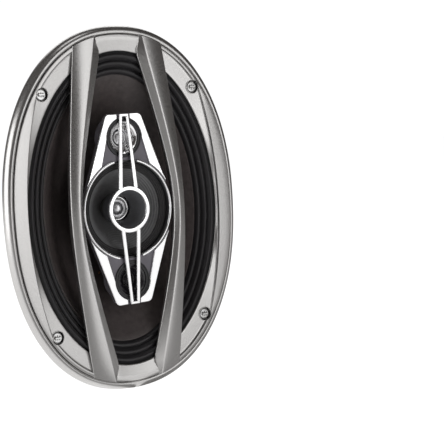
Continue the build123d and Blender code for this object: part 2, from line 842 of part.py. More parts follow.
# ---------------------------------------------------------------- midrange frame
with BuildPart() as midrange_frame:
    with BuildSketch(Plane.XY):
        with BuildLine():
            Polyline(
                (mid_rim_radius, housing_front),
                (mid_rim_radius + mid_wall, housing_front),
                (mid_rim_radius + mid_wall, mid_rim_y),
                (mid_neck_radius + mid_wall, mid_floor_y),
                (mid_gap_outer, mid_floor_y),
                (mid_gap_outer, mid_floor_y - mid_wall),
                (mid_neck_radius, mid_floor_y - mid_wall),
                (mid_rim_radius, mid_rim_y - mid_wall),
                close=True,
            )
        make_face()
    revolve(axis=Axis.Y)
finish(midrange_frame, "midrange_frame")

# ---------------------------------------------------------------- midrange surround
with BuildPart() as midrange_surround:
    with BuildSketch(Plane.XY):
        with BuildLine():
            Polyline(
                (mid_rim_radius, mid_cone_front - 1.6),
                (mid_rim_radius, mid_cone_front - 1.0),
                (mid_cone_radius, mid_cone_front),
                (mid_cone_radius, mid_cone_front - 0.6),
                close=True,
            )
        make_face()
    revolve(axis=Axis.Y)
finish(midrange_surround, "midrange_surround")

# ---------------------------------------------------------------- midrange cone and coil
with BuildPart() as midrange_cone:
    with BuildSketch(Plane.XY):
        with BuildLine():
            Polyline(
                (mid_cone_radius, mid_cone_front),
                (mid_former_radius, mid_cone_rear),
                (mid_former_radius, mid_cone_rear + 1.2 * mid_cone_wall),
                (mid_cone_radius + 0.9 * mid_cone_wall, mid_cone_front),
                close=True,
            )
        make_face()
    revolve(axis=Axis.Y)
finish(midrange_cone, "midrange_cone")

with BuildPart() as midrange_former:
    with BuildSketch(front(mid_former_rear)):
        Circle(mid_former_radius)
        Circle(mid_former_radius - mid_former_wall, mode=Mode.SUBTRACT)
    extrude(amount=mid_former_rear - mid_cone_rear + 1.5)
finish(midrange_former, "midrange_former")

# ---------------------------------------------------------------- midrange motor
with BuildPart() as midrange_motor:
    with BuildSketch(Plane.XY):
        with BuildLine():
            Polyline(
                (stud_radius, mid_floor_y),
                (mid_pole_radius, mid_floor_y),
                (mid_pole_radius, mid_gap_floor),
                (mid_gap_outer, mid_gap_floor),
                (mid_gap_outer, mid_floor_y),
                (mid_motor_radius, mid_floor_y),
                (mid_motor_radius, mid_motor_rear),
                (stud_radius, mid_motor_rear),
                close=True,
            )
        make_face()
    revolve(axis=Axis.Y)
    chamfer(
        midrange_motor.edges().filter_by(GeomType.CIRCLE).sort_by(SortBy.RADIUS).group_by(SortBy.RADIUS)[-1],
        length=0.5,
    )
finish(midrange_motor, "midrange_motor")

# ---------------------------------------------------------------- tweeter
horn_front = ladder_front + ladder_thick
with BuildPart() as tweeter_horn:
    with BuildSketch(Plane.XY):
        with BuildLine():
            Polyline(
                (hub_inner, horn_front),
                (hub_inner + horn_wall, horn_front),
                (tweeter_motor_radius + horn_wall, horn_throat_y + dome_lift),
                (tweeter_motor_radius, horn_throat_y + dome_lift),
                (horn_throat_radius, horn_throat_y),
                close=True,
            )
        make_face()
    revolve(axis=Axis.Y)
finish(tweeter_horn, "tweeter_horn")

dome_seat = horn_throat_y + dome_lift
with BuildPart() as tweeter_motor:
    with BuildSketch(Plane.XY):
        with BuildLine():
            Polyline(
                (0, dome_seat),
                (dome_radius - 1.5, dome_seat),
                (dome_radius - 1.5, dome_seat + 3),
                (dome_radius + dome_clearance, dome_seat + 3),
                (dome_radius + dome_clearance, dome_seat),
                (tweeter_motor_radius, dome_seat),
                (tweeter_motor_radius, tweeter_motor_rear),
                (0, tweeter_motor_rear),
                close=True,
            )
        make_face()
    revolve(axis=Axis.Y)
finish(tweeter_motor, "tweeter_motor")

with BuildPart() as tweeter_ring:
    with BuildSketch(front(dome_seat - 0.02)):
        Circle(tweeter_ring_outer)
        Circle(tweeter_ring_inner, mode=Mode.SUBTRACT)
    extrude(amount=tweeter_ring_thick)
finish(tweeter_ring, "tweeter_ring")


def cap_arc(radius, height, seat):
    """Points of a spherical cap's half section: its crown, halfway down and its rim."""
    sphere = (radius**2 + height**2) / (2 * height)
    half_turn = asin(radius / sphere) / 2
    middle = (sphere * sin(half_turn), seat - height + sphere * (1 - cos(half_turn)))
    return (0, seat - height), middle, (radius, seat)


def dome_profile(radius, height, wall, skirt, seat):
    """Half section of a dome with a short cylindrical skirt, its rim at depth seat."""
    outer = cap_arc(radius, height, seat)
    inner = cap_arc(radius - wall, height - wall, seat)
    with BuildSketch(Plane.XY) as section:
        with BuildLine():
            ThreePointArc(*outer)
            Polyline(outer[2], (radius, seat + skirt), (radius - wall, seat + skirt), inner[2])
            ThreePointArc(*inner)
            Line(inner[0], outer[0])
        make_face()
    return section.sketch


with BuildPart() as tweeter_dome:
    add(dome_profile(dome_radius, dome_height, dome_wall, 1.6, dome_seat - 0.4))
    revolve(axis=Axis.Y)
finish(tweeter_dome, "tweeter_dome")

# ---------------------------------------------------------------- pod tweeters
# Each pod holds a ring, a dish that opens towards the listener, a small dome and its element.
dish_front = housing_front + 0.2
dish_rear = dish_front + dish_depth
pod_names = (("upper", pod_z), ("lower", -pod_z))
for pod, z in pod_names:
    with BuildPart() as pod_ring:
        with BuildSketch(front(dish_front)):
            with Locations((0, z)):
                Circle(pod_radius - 0.05)
                Circle(pod_ring_inner, mode=Mode.SUBTRACT)
        extrude(amount=1.2)
    finish(pod_ring, f"{pod}_tweeter_ring")

    with BuildPart() as dish:
        with BuildSketch(side_plane(z)):
            with BuildLine():
                Polyline(
                    (pod_ring_inner, dish_front + 0.05),
                    (pod_radius - 0.1, dish_front + 0.05),
                    (pod_radius - 0.1, dish_front + 0.05 + dish_wall),
                    (pod_ring_inner, dish_front + 0.05 + dish_wall),
                    (dish_throat_radius + dish_wall, dish_rear),
                    (dish_throat_radius, dish_rear),
                    close=True,
                )
            make_face()
        revolve(axis=axis_at(z))
    finish(dish, f"{pod}_tweeter_dish")

    with BuildPart() as element:
        with BuildSketch(front(dish_rear + 0.6 + element_thick)):
            with Locations((0, z)):
                Circle(element_radius)
        extrude(amount=element_thick)
        with BuildSketch(front(dish_rear + 0.6)):
            with Locations((0, z)):
                Circle(dish_throat_radius + dish_wall)
                Circle(small_dome_radius + dome_clearance, mode=Mode.SUBTRACT)
        extrude(amount=0.58)
    finish(element, f"{pod}_tweeter_element")

    with BuildPart() as small_dome:
        add(
            dome_profile(small_dome_radius, small_dome_height, dome_wall, 0.3, dish_rear)
            .moved(Location((0, 0, z)))
        )
        revolve(axis=axis_at(z))
    finish(small_dome, f"{pod}_tweeter_dome")

# ---------------------------------------------------------------- terminals
# Plastic board riveted behind the basket's tab, with one wide and one narrow tab terminal.
board_front = ledge_y + basket_wall
with BuildPart() as terminal_board:
    with BuildSketch(front(board_front + board_thick)):
        with Locations((0, tab_z)):
            RectangleRounded(board_width, board_height, 2)
        with Locations((-tab_spacing / 2, tab_z)):
            Rectangle(wide_tab, tab_thick, mode=Mode.SUBTRACT)
        with Locations((tab_spacing / 2, tab_z)):
            Rectangle(narrow_tab, tab_thick, mode=Mode.SUBTRACT)
        with Locations((0, tab_z)):
            Circle(rivet_radius, mode=Mode.SUBTRACT)
    extrude(amount=board_thick)
finish(terminal_board, "terminal_board")

tab_front = ledge_y - 2.0
for name, side, width in (("terminal_positive", -1, wide_tab), ("terminal_negative", 1, narrow_tab)):
    with BuildPart() as terminal:
        with BuildSketch(front(board_front + board_thick + blade_length)):
            with Locations((side * tab_spacing / 2, tab_z)):
                Rectangle(width, tab_thick)
        extrude(amount=board_front + board_thick + blade_length - tab_front)
        chamfer(terminal.edges().filter_by(Axis.X).group_by(Axis.Y)[-1], length=tab_thick / 4)
    finish(terminal, name)

with BuildPart() as terminal_rivet:
    with BuildSketch(front(board_front + board_thick)):
        with Locations((0, tab_z)):
            Circle(rivet_radius)
    extrude(amount=board_thick + basket_wall)
    with BuildSketch(front(ledge_y)):
        with Locations((0, tab_z)):
            Circle(rivet_head)
    extrude(amount=rivet_head_thick)
    with BuildSketch(front(board_front + board_thick + rivet_head_thick)):
        with Locations((0, tab_z)):
            Circle(rivet_head)
    extrude(amount=rivet_head_thick)
finish(terminal_rivet, "terminal_rivet")

with BuildPart() as crossover_capacitor:
    with BuildSketch(Plane.YZ.offset(-capacitor_length / 2)):
        with Locations((board_front + board_thick + capacitor_radius + rivet_head_thick, tab_z - 1.0)):
            Circle(capacitor_radius)
    extrude(amount=capacitor_length)
finish(crossover_capacitor, "crossover_capacitor")

# ---------------------------------------------------------------- tinsel leads
# Two flexible leads from the terminals to the back of the cone.
cone_slope = (cone_neck_y - cone_rim_y) / (cone_half_h - neck_radius - cone_wall)
lead_end_y = cone_rim_y + cone_slope * (cone_half_h - lead_cone_z) + 0.3
with BuildPart() as tinsel_leads:
    for side in (-1, 1):
        lead_x = side * tab_spacing / 2
        with BuildLine() as route:
            FilletPolyline(
                (lead_x, tab_front - lead_radius, tab_z),
                (lead_x, tab_front - 5, tab_z + 1),
                (lead_x * 0.9, tab_front - 4, tab_z + 9),
                (lead_x * 0.8, lead_end_y, -lead_cone_z),
                radius=lead_bend,
            )
        with BuildSketch(Plane(route.line @ 0, z_dir=route.line % 0)):
            Circle(lead_radius)
        sweep(path=route.line)
finish(tinsel_leads, "tinsel_leads")
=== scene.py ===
from math import atan2, cos, hypot, pi, radians, sin, sqrt

import bmesh
import bpy
from mathutils import Matrix, Vector


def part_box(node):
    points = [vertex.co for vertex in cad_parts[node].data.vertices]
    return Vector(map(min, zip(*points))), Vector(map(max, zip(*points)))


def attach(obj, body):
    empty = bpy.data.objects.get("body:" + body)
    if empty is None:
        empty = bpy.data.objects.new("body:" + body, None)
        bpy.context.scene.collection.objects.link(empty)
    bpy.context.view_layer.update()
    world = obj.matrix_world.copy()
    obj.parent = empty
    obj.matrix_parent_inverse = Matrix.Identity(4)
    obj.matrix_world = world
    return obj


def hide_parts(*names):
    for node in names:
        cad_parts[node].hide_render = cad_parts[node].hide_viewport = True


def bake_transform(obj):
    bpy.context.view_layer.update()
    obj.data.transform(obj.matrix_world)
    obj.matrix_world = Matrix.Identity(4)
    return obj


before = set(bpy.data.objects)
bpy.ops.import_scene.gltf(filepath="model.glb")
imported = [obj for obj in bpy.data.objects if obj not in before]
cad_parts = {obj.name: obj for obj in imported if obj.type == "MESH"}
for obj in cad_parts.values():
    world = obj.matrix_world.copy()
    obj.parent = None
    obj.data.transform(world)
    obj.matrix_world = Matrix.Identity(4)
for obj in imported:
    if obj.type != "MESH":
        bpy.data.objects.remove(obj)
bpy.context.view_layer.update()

# ---------------------------------------------------------------- basket
# Pressed steel chassis with a flange, eight arms and a motor seat, in fine black powder coat.
# The gasket, the surround's lip and the spider are glued to it.
mm = 0.001


class Wire:
    """One socket of a finish's nodes, which takes part in plain Python sums."""

    def __init__(self, tree, socket):
        self.tree = tree
        self.socket = socket

    def node(self, kind, settings, sockets, out=0):
        """Adds a node: its settings first, then the values or wires of its sockets."""
        made = self.tree.nodes.new(kind)
        for key, value in settings.items():
            if key == "stops":
                ramp = made.color_ramp
                while len(ramp.elements) < len(value):
                    ramp.elements.new(1.0)
                for stop, (position, colour) in zip(ramp.elements, value):
                    stop.position = position
                    stop.color = (*colour, 1.0)
            else:
                setattr(made, key, value)
        for key, value in sockets.items():
            if isinstance(value, Wire):
                self.tree.links.new(value.socket, made.inputs[key])
            else:
                made.inputs[key].default_value = value
        return Wire(self.tree, made.outputs[out])

    def maths(self, operation, first, second=0.0):
        return self.node("ShaderNodeMath", {"operation": operation}, {0: first, 1: second})

    def __add__(self, other):
        return self.maths("ADD", self, other)

    def __radd__(self, other):
        return self.maths("ADD", other, self)

    def __sub__(self, other):
        return self.maths("SUBTRACT", self, other)

    def __rsub__(self, other):
        return self.maths("SUBTRACT", other, self)

    def __mul__(self, other):
        return self.maths("MULTIPLY", self, other)

    def __rmul__(self, other):
        return self.maths("MULTIPLY", other, self)

    def __pow__(self, other):
        return self.maths("POWER", self, other)


class Finish:
    """A material being made: its Principled shader and a wire with its object coordinates."""

    def __init__(self, name, constants):
        self.material = bpy.data.materials.new(name)
        self.material.use_nodes = True
        self.tree = self.material.node_tree
        self.shader = self.tree.nodes["Principled BSDF"]
        for socket, value in constants.items():
            self.shader.inputs[socket].default_value = value
        coordinates = self.tree.nodes.new("ShaderNodeTexCoord")
        self.place = Wire(self.tree, coordinates.outputs["Object"])

    def noise(self, scale, detail=2.0):
        sockets = {"Vector": self.place, "Scale": scale, "Detail": detail}
        return self.place.node("ShaderNodeTexNoise", {}, sockets)

    def cells(self, scale):
        return self.place.node("ShaderNodeTexVoronoi", {}, {"Vector": self.place, "Scale": scale})

    def axis(self, index):
        return self.place.node("ShaderNodeSeparateXYZ", {}, {0: self.place}, out=index)

    def radius(self, height=0.0):
        """Distance from an axis into the speaker at that height."""
        return (self.axis(0) ** 2.0 + (self.axis(2) - height) ** 2.0) ** 0.5

    def angle(self, height=0.0):
        return self.place.maths("ARCTAN2", self.axis(2) - height, self.axis(0))

    def mix(self, factor, first, second):
        sockets = {0: factor, 6: (*first, 1.0), 7: (*second, 1.0)}
        return self.place.node("ShaderNodeMix", {"data_type": "RGBA"}, sockets, out=2)

    def bump(self, height, strength, distance):
        sockets = {"Height": height, "Strength": strength, "Distance": distance}
        return self.place.node("ShaderNodeBump", {}, sockets)

    def feed(self, wires):
        for socket, wire in wires.items():
            self.tree.links.new(wire.socket, self.shader.inputs[socket])


def dress(node, finish):
    """Gives a CAD node its finish."""
    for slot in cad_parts[node].material_slots:
        slot.material = finish.material


powder_coat = Finish("powder_coat", {"Specular IOR Level": 0.45})
pebbles = powder_coat.noise(1400.0, 3.0)
powder_coat.feed({
    "Base Color": powder_coat.mix(powder_coat.noise(35.0), (0.012, 0.012, 0.013), (0.028, 0.028, 0.03)),
    "Roughness": 0.36 + 0.25 * pebbles,
    "Normal": powder_coat.bump(pebbles, 0.4, 0.06 * mm),
})
dress("basket", powder_coat)

# ---------------------------------------------------------------- woofer motor
# A turned steel top plate and back plate clamp a ground ferrite ring, with the coil's gap inside.
# The plates are passivated grey and the ferrite is bare.
turned_steel = Finish("turned_steel", {"Metallic": 0.95})
lathe_marks = turned_steel.place.maths("SINE", turned_steel.radius() * 9000.0)
stains = turned_steel.noise(60.0, 4.0)
turned_steel.feed({
    "Base Color": turned_steel.mix(stains, (0.26, 0.26, 0.27), (0.46, 0.45, 0.43)),
    "Roughness": 0.26 + 0.2 * stains + 0.03 * lathe_marks,
    "Normal": turned_steel.bump(lathe_marks, 0.15, 0.02 * mm),
})
for plate in ("top_plate", "yoke", "midrange_motor", "tweeter_motor", "centre_post"):
    dress(plate, turned_steel)

ferrite = Finish("ferrite", {"Specular IOR Level": 0.4})
grains = ferrite.noise(2200.0, 4.0)
pits = ferrite.place.maths("GREATER_THAN", ferrite.noise(500.0, 1.0), 0.68)
ferrite.feed({
    "Base Color": ferrite.mix(ferrite.noise(80.0, 4.0), (0.028, 0.028, 0.03), (0.055, 0.053, 0.055)),
    "Roughness": 0.5 + 0.2 * grains,
    "Normal": ferrite.bump(grains - 0.6 * pits, 0.5, 0.08 * mm),
})
dress("magnet", ferrite)

# ---------------------------------------------------------------- woofer voice coil
# Enamelled copper wire in one close layer on a foil former, glued to the cone's neck.
foil = Finish("foil", {"Metallic": 1.0})
creases = foil.noise(220.0, 3.0)
foil.feed({
    "Base Color": foil.mix(creases, (0.62, 0.63, 0.64), (0.8, 0.8, 0.8)),
    "Roughness": 0.2 + 0.2 * creases,
    "Normal": foil.bump(creases, 0.2, 0.05 * mm),
})
dress("voice_coil_former", foil)
dress("midrange_former", foil)

wire_pitch = 0.35 * mm
enamel_wire = Finish("enamel_wire", {"Metallic": 0.85, "Roughness": 0.28})
turns = enamel_wire.place.maths("SINE", enamel_wire.axis(1) * (2 * pi / wire_pitch))
enamel_wire.feed({
    "Base Color": enamel_wire.mix(0.5 + 0.5 * turns, (0.32, 0.1, 0.04), (0.75, 0.33, 0.14)),
    "Normal": enamel_wire.bump(turns, 0.7, 0.1 * mm),
})
dress("voice_coil_winding", enamel_wire)

# ---------------------------------------------------------------- spider
# Resin-dipped cotton disc, pressed into rings. Its rim is glued to the basket's ledge and its neck
# to the former.
spider_rings = 7
spider_swing = 1.1 * mm
spider_thick = 0.5 * mm
low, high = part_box("spider")
spider_rim, spider_neck = high.x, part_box("voice_coil_former")[1].x
spider_flat = 5 * mm


def lathe(profile, height=0.0, steps=96, into=None):
    """A shell turned about the axis at that height. A profile that ends where it starts is closed."""
    bm = into or bmesh.new()
    line = [bm.verts.new((reach, depth, height)) for reach, depth in profile]
    edges = [bm.edges.new(pair) for pair in zip(line, line[1:])]
    bmesh.ops.spin(bm, geom=line + edges, cent=(0, 0, height), axis=(0, 1, 0),
                   angle=2 * pi, steps=steps, use_merge=True)
    bmesh.ops.remove_doubles(bm, verts=bm.verts, dist=1e-6)
    bmesh.ops.recalc_face_normals(bm, faces=bm.faces)
    return bm


def piece(name, bm, finish, crease=35.0):
    """Makes the named object from a mesh, smooth except where it turns by more than the crease."""
    mesh = bpy.data.meshes.new(name)
    bm.to_mesh(mesh)
    bm.free()
    mesh.shade_smooth()
    mesh.set_sharp_from_angle(angle=radians(crease))
    mesh.materials.append(finish.material)
    made = bpy.data.objects.new(name, mesh)
    made.modifiers.new("face_weights", "WEIGHTED_NORMAL").keep_sharp = True
    bpy.context.scene.collection.objects.link(made)
    return made


cloth = Finish("treated_cloth", {"Sheen Weight": 0.3, "Sheen Roughness": 0.5})
warp = cloth.place.maths("SINE", cloth.axis(0) * 7000.0)
weft = cloth.place.maths("SINE", cloth.axis(2) * 7000.0)
weave = 0.5 + 0.25 * warp + 0.25 * weft
cloth.feed({
    "Base Color": cloth.mix(0.6 * weave + 0.4 * cloth.noise(90.0), (0.3, 0.19, 0.05), (0.6, 0.43, 0.16)),
    "Roughness": 0.62 + 0.2 * weave,
    "Normal": cloth.bump(weave, 0.6, 0.12 * mm),
})

spider_front, spider_back = [], []
ring_steps = 12 * spider_rings
for step in range(ring_steps + 1):
    share = step / ring_steps
    reach = spider_rim - spider_flat + (spider_neck - spider_rim + spider_flat) * share
    wave = spider_swing * sin(2 * pi * spider_rings * share) * min(1.0, 6 * share, 6 * (1 - share))
    depth = low.y + spider_thick + (high.y - low.y - spider_thick) * share + wave
    spider_front.append((reach, depth - spider_thick))
    spider_back.append((reach, depth))
rim_front = (spider_rim, spider_front[0][1])
rim_back = (spider_rim, spider_back[0][1])
spider_line = [rim_front] + spider_front + spider_back[::-1] + [rim_back, rim_front]
spider = piece("spider_corrugated", lathe(spider_line), cloth, 80.0)
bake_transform(spider)
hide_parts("spider")

# ---------------------------------------------------------------- woofer cone
# One-piece cone of mica-filled polymer, oval at the rim and round at the neck, with moulded
# strengthening ribs that fade towards the rim.
cone_steps = 192
cone_lines = 22
cone_wall = 0.9 * mm
cone_bow = 0.09
low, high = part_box("woofer_cone")
cone_half_w, cone_half_h, cone_rim, cone_neck = high.x, high.z, low.y, high.y
neck_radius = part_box("voice_coil_former")[1].x + cone_wall


def oval_reach(turn, half_w, half_h, squareness=2.0):
    """Distance from the centre to an oval's edge, in the direction of the turn."""
    across = abs(cos(turn) / half_w) ** squareness
    return (across + abs(sin(turn) / half_h) ** squareness) ** (-1 / squareness)


def grow(bm, rim):
    """Extrudes a loop of edges where it stands, and gives the new edges and points."""
    made = bmesh.ops.extrude_edge_only(bm, edges=rim)["geom"]
    verts = {part for part in made if isinstance(part, bmesh.types.BMVert)}
    edges = [part for part in made if isinstance(part, bmesh.types.BMEdge)]
    return [edge for edge in edges if verts.issuperset(edge.verts)], verts


def ring_shell(steps, lines, place, closed=True):
    """Rings of points about the axis, joined in order. place(turn, line) gives a reach and a depth."""
    bm = bmesh.new()
    turns = bm.verts.layers.float.new("turn")
    bmesh.ops.create_circle(bm, segments=steps, radius=1.0)
    for vert in bm.verts:
        vert[turns] = atan2(vert.co.y, vert.co.x)
    first_rim = bm.edges[:]
    rim, verts = first_rim, bm.verts[:]
    for line in range(lines):
        if line:
            rim, verts = grow(bm, rim)
        for vert in verts:
            turn = vert[turns]
            reach, depth = place(turn, line)
            vert.co = (reach * cos(turn), depth, reach * sin(turn))
    if closed:
        bmesh.ops.bridge_loops(bm, edges=first_rim + rim)
    bmesh.ops.recalc_face_normals(bm, faces=bm.faces)
    return bm


def cone_point(turn, line):
    """Front face from rim to neck, then the rear face back to the rim."""
    rear = line >= cone_lines
    share = (2 * cone_lines - 1 - line if rear else line) / (cone_lines - 1)
    rim = oval_reach(turn, cone_half_w, cone_half_h)
    reach = rim + (neck_radius - rim) * share
    depth = cone_rim + (cone_neck - cone_rim) * (share + cone_bow * sin(pi * share))
    return (reach, depth) if rear else (reach - 1.2 * cone_wall, depth - 0.4 * cone_wall)


cone_skin = Finish("mica_cone", {"Specular IOR Level": 0.5})
fibres = cone_skin.noise(260.0, 5.0)
specks = cone_skin.place.maths("GREATER_THAN", cone_skin.noise(3000.0, 1.0), 0.66)
cone_skin.feed({
    "Base Color": cone_skin.mix(0.7 * fibres + 0.5 * specks, (0.04, 0.033, 0.032), (0.165, 0.135, 0.132)),
    "Roughness": 0.44 + 0.14 * fibres - 0.1 * specks,
    "Normal": cone_skin.bump(fibres + 0.3 * specks, 0.3, 0.12 * mm),
})
cone = piece("cone_body", ring_shell(cone_steps, 2 * cone_lines, cone_point), cone_skin, 50.0)
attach(cone, "woofer")
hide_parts("woofer_cone")

# ---------------------------------------------------------------- woofer surround
# Butyl rubber ring with three rolls. The outer lip is glued to the flange under the gasket and the
# inner lip to the cone's rim, so it stretches between the two.
roll_count = 3
roll_rise = 2.1 * mm
roll_wall = 0.7 * mm
roll_steps = 12
surround_steps = 224
lip_width = 4.2 * mm
glue_lap = 0.4 * mm
surround_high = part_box("woofer_surround")[1]
roll_out_w, roll_out_h = surround_high.x - lip_width, surround_high.z - lip_width
roll_out_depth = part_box("front_gasket")[1].y - roll_wall
roll_in_depth = cone_rim + 0.3 * mm
land = 2.0 * mm
roll_lines = roll_count * roll_steps + 1


def surround_front(turn, line):
    """Point on the rolls' front, with the outer lip as line 0 and the cone's land as the last."""
    outer = oval_reach(turn, roll_out_w, roll_out_h)
    inner = oval_reach(turn, cone_half_w - glue_lap, cone_half_h - glue_lap)
    if line == 0:
        return oval_reach(turn, surround_high.x, surround_high.z), roll_out_depth
    if line == roll_lines + 1:
        return inner - land, roll_in_depth + 0.45 * land
    share = (line - 1) / (roll_lines - 1)
    arch = abs(sin(pi * roll_count * share)) ** 0.8
    depth = roll_out_depth + (roll_in_depth - roll_out_depth) * share
    return outer + (inner - outer) * share, depth - roll_rise * arch


def surround_point(turn, line):
    """Front from the outer lip to the land, then the rear back to the lip."""
    last = roll_lines + 1
    if line <= last:
        return surround_front(turn, line)
    reach, depth = surround_front(turn, 2 * last + 1 - line)
    return reach, depth + roll_wall


rubber = Finish("butyl_rubber", {"Specular IOR Level": 0.55, "Sheen Weight": 0.25, "Sheen Roughness": 0.4})
skin = rubber.noise(900.0, 3.0)
bloom = rubber.noise(28.0, 3.0)
rubber.feed({
    "Base Color": rubber.mix(bloom, (0.009, 0.008, 0.0095), (0.018, 0.016, 0.019)),
    "Roughness": 0.3 + 0.16 * skin + 0.1 * bloom,
    "Normal": rubber.bump(skin, 0.2, 0.05 * mm),
})
surround_shell = ring_shell(surround_steps, 2 * roll_lines + 4, surround_point)
surround = piece("surround_rolls", surround_shell, rubber, 60.0)
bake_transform(surround)
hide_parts("woofer_surround")

# ---------------------------------------------------------------- front gasket
# Die-cut ring of closed-cell foam between the surround's lip and the grille.
foam = Finish("gasket_foam", {"Specular IOR Level": 0.3})
foam_cells = foam.cells(1800.0)
foam.feed({
    "Base Color": foam.mix(foam_cells, (0.012, 0.012, 0.012), (0.04, 0.04, 0.041)),
    "Roughness": 0.75 + 0.2 * foam_cells,
    "Normal": foam.bump(foam_cells, 0.6, 0.2 * mm),
})
dress("front_gasket", foam)

# ---------------------------------------------------------------- centre post nut
# Zinc-plated hexagon nut that clamps the post to the back plate.
zinc = Finish("zinc_plate", {"Metallic": 1.0})
spangle = zinc.cells(420.0)
zinc.feed({
    "Base Color": zinc.mix(spangle, (0.62, 0.63, 0.64), (0.8, 0.79, 0.77)),
    "Roughness": 0.2 + 0.2 * spangle,
    "Normal": zinc.bump(zinc.noise(700.0), 0.12, 0.03 * mm),
})
dress("post_nut", zinc)
dress("terminal_rivet", zinc)

# ---------------------------------------------------------------- module housing and midrange frame
# Moulded carrier in spark-eroded dark plastic. The midrange frame hangs in its round window and the
# two pods carry the small tweeters.
eroded_plastic = Finish("eroded_plastic", {"Specular IOR Level": 0.5})
spark = eroded_plastic.noise(1500.0, 3.0)
eroded_plastic.feed({
    "Base Color": eroded_plastic.mix(eroded_plastic.noise(50.0), (0.19, 0.18, 0.205), (0.26, 0.245, 0.28)),
    "Roughness": 0.42 + 0.25 * spark,
    "Normal": eroded_plastic.bump(spark, 0.35, 0.06 * mm),
})
dress("module_housing", eroded_plastic)

satin_plastic = Finish("satin_plastic", {"Specular IOR Level": 0.5})
grain = satin_plastic.noise(1100.0, 2.0)
satin_plastic.feed({
    "Base Color": satin_plastic.mix(satin_plastic.noise(40.0), (0.018, 0.018, 0.02), (0.032, 0.032, 0.035)),
    "Roughness": 0.3 + 0.2 * grain,
    "Normal": satin_plastic.bump(grain, 0.25, 0.04 * mm),
})
dress("midrange_frame", satin_plastic)

# ---------------------------------------------------------------- midrange
# Small cone with fine pressed rings and a pleated cloth edge. The edge is glued inside the frame.
pleats = 4
pleat_rise = 0.5 * mm
mid_low, mid_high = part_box("midrange_cone")
edge_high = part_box("midrange_surround")[1]
mid_rim, mid_neck = mid_high.x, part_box("midrange_former")[1].x
mid_inset, mid_wall, mid_wall_depth = 0.6 * mm, 0.5 * mm, 0.25 * mm
edge_outer = edge_high.x
edge_wall, edge_lap, edge_seat, edge_fall = 0.4 * mm, 1.0 * mm, 1.2 * mm, 1.0 * mm

ribbed_paper = Finish("ribbed_paper", {"Specular IOR Level": 0.45})
rings = ribbed_paper.place.maths("SINE", ribbed_paper.radius() * 5200.0)
spokes = ribbed_paper.place.maths("SINE", ribbed_paper.angle() * 150.0)
pulp = ribbed_paper.noise(500.0, 4.0)
paleness = 0.5 * pulp + 0.25 + 0.25 * rings
ribbed_paper.feed({
    "Base Color": ribbed_paper.mix(paleness, (0.15, 0.15, 0.155), (0.34, 0.34, 0.345)),
    "Roughness": 0.4 + 0.15 * pulp,
    "Normal": ribbed_paper.bump(rings + 0.35 * spokes + 0.5 * pulp, 0.45, 0.12 * mm),
})

pleated_edge = Finish("pleated_cloth", {"Specular IOR Level": 0.4, "Sheen Weight": 0.2})
edge_thread = pleated_edge.place.maths("SINE", pleated_edge.angle() * 260.0)
pleated_edge.feed({
    "Base Color": pleated_edge.mix(0.5 + 0.5 * edge_thread, (0.016, 0.015, 0.016), (0.07, 0.068, 0.07)),
    "Roughness": 0.5 + 0.1 * edge_thread,
    "Normal": pleated_edge.bump(edge_thread, 0.5, 0.15 * mm),
})

mid_front, mid_back = [], []
mid_lines = 24
for step in range(mid_lines + 1):
    share = step / mid_lines
    reach = mid_rim - mid_inset + (mid_neck + mid_wall - mid_rim) * share
    depth = mid_low.y + (mid_high.y - mid_low.y) * (share + 0.07 * sin(pi * share))
    mid_front.append((reach, depth))
    mid_back.append((reach + mid_wall, depth + mid_wall_depth))
mid_line = mid_front + mid_back[::-1] + [mid_front[0]]
midrange_cone = piece("midrange_cone_ribbed", lathe(mid_line), ribbed_paper, 60.0)
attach(midrange_cone, "midrange")
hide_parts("midrange_cone")

edge_front, edge_back = [], []
edge_lines = 12 * pleats
for step in range(edge_lines + 1):
    share = step / edge_lines
    reach = edge_outer + (mid_rim - edge_lap - edge_outer) * share
    wave = pleat_rise * abs(sin(pi * pleats * share))
    depth = edge_high.y - edge_seat + edge_fall * share - wave
    edge_front.append((reach, depth))
    edge_back.append((reach, depth + edge_wall))
edge_line = edge_front + edge_back[::-1] + [edge_front[0]]
midrange_edge = piece("midrange_edge_pleated", lathe(edge_line, steps=144), pleated_edge, 70.0)
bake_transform(midrange_edge)
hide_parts("midrange_surround")

# ---------------------------------------------------------------- chrome blades
# Four plated plastic blades along the module's long edges, between the midrange ring and the pods,
# with a rounded front edge.
blade_edge = 0.55 * mm
ring_gap_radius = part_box("midrange_ring_right")[1].x + 0.5 * mm
pod_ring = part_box("upper_tweeter_ring")
pod_height = (pod_ring[0].z + pod_ring[1].z) / 2
pod_radius = pod_ring[1].x
blade_low, blade_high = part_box("blade_upper_right")
blade_top, blade_inner = blade_high.z, blade_low.x


def arc(centre, radius, start, stop, steps):
    """Points along an arc, from one turn in degrees to another."""
    turns = [radians(start + (stop - start) * step / steps) for step in range(steps + 1)]
    return [(centre[0] + radius * cos(turn), centre[1] + radius * sin(turn)) for turn in turns]


def slab(outline, front, rear, edge, segments=3, into=None):
    """A plate cut to the outline of (x, z) points, with its front edge rounded."""
    bm = into or bmesh.new()
    face = bm.faces.new([bm.verts.new((x, rear, z)) for x, z in outline])
    made = bmesh.ops.extrude_face_region(bm, geom=[face])["geom"]
    tops = [part for part in made if isinstance(part, bmesh.types.BMVert)]
    bmesh.ops.translate(bm, verts=tops, vec=(0, front - rear, 0))
    fresh = set(tops)
    rim = [e for e in bm.edges if fresh.issuperset(e.verts)]
    bmesh.ops.bevel(bm, geom=rim, offset=edge, segments=segments, profile=0.5, affect="EDGES", material=-1)
    bmesh.ops.recalc_face_normals(bm, faces=bm.faces)
    return bm


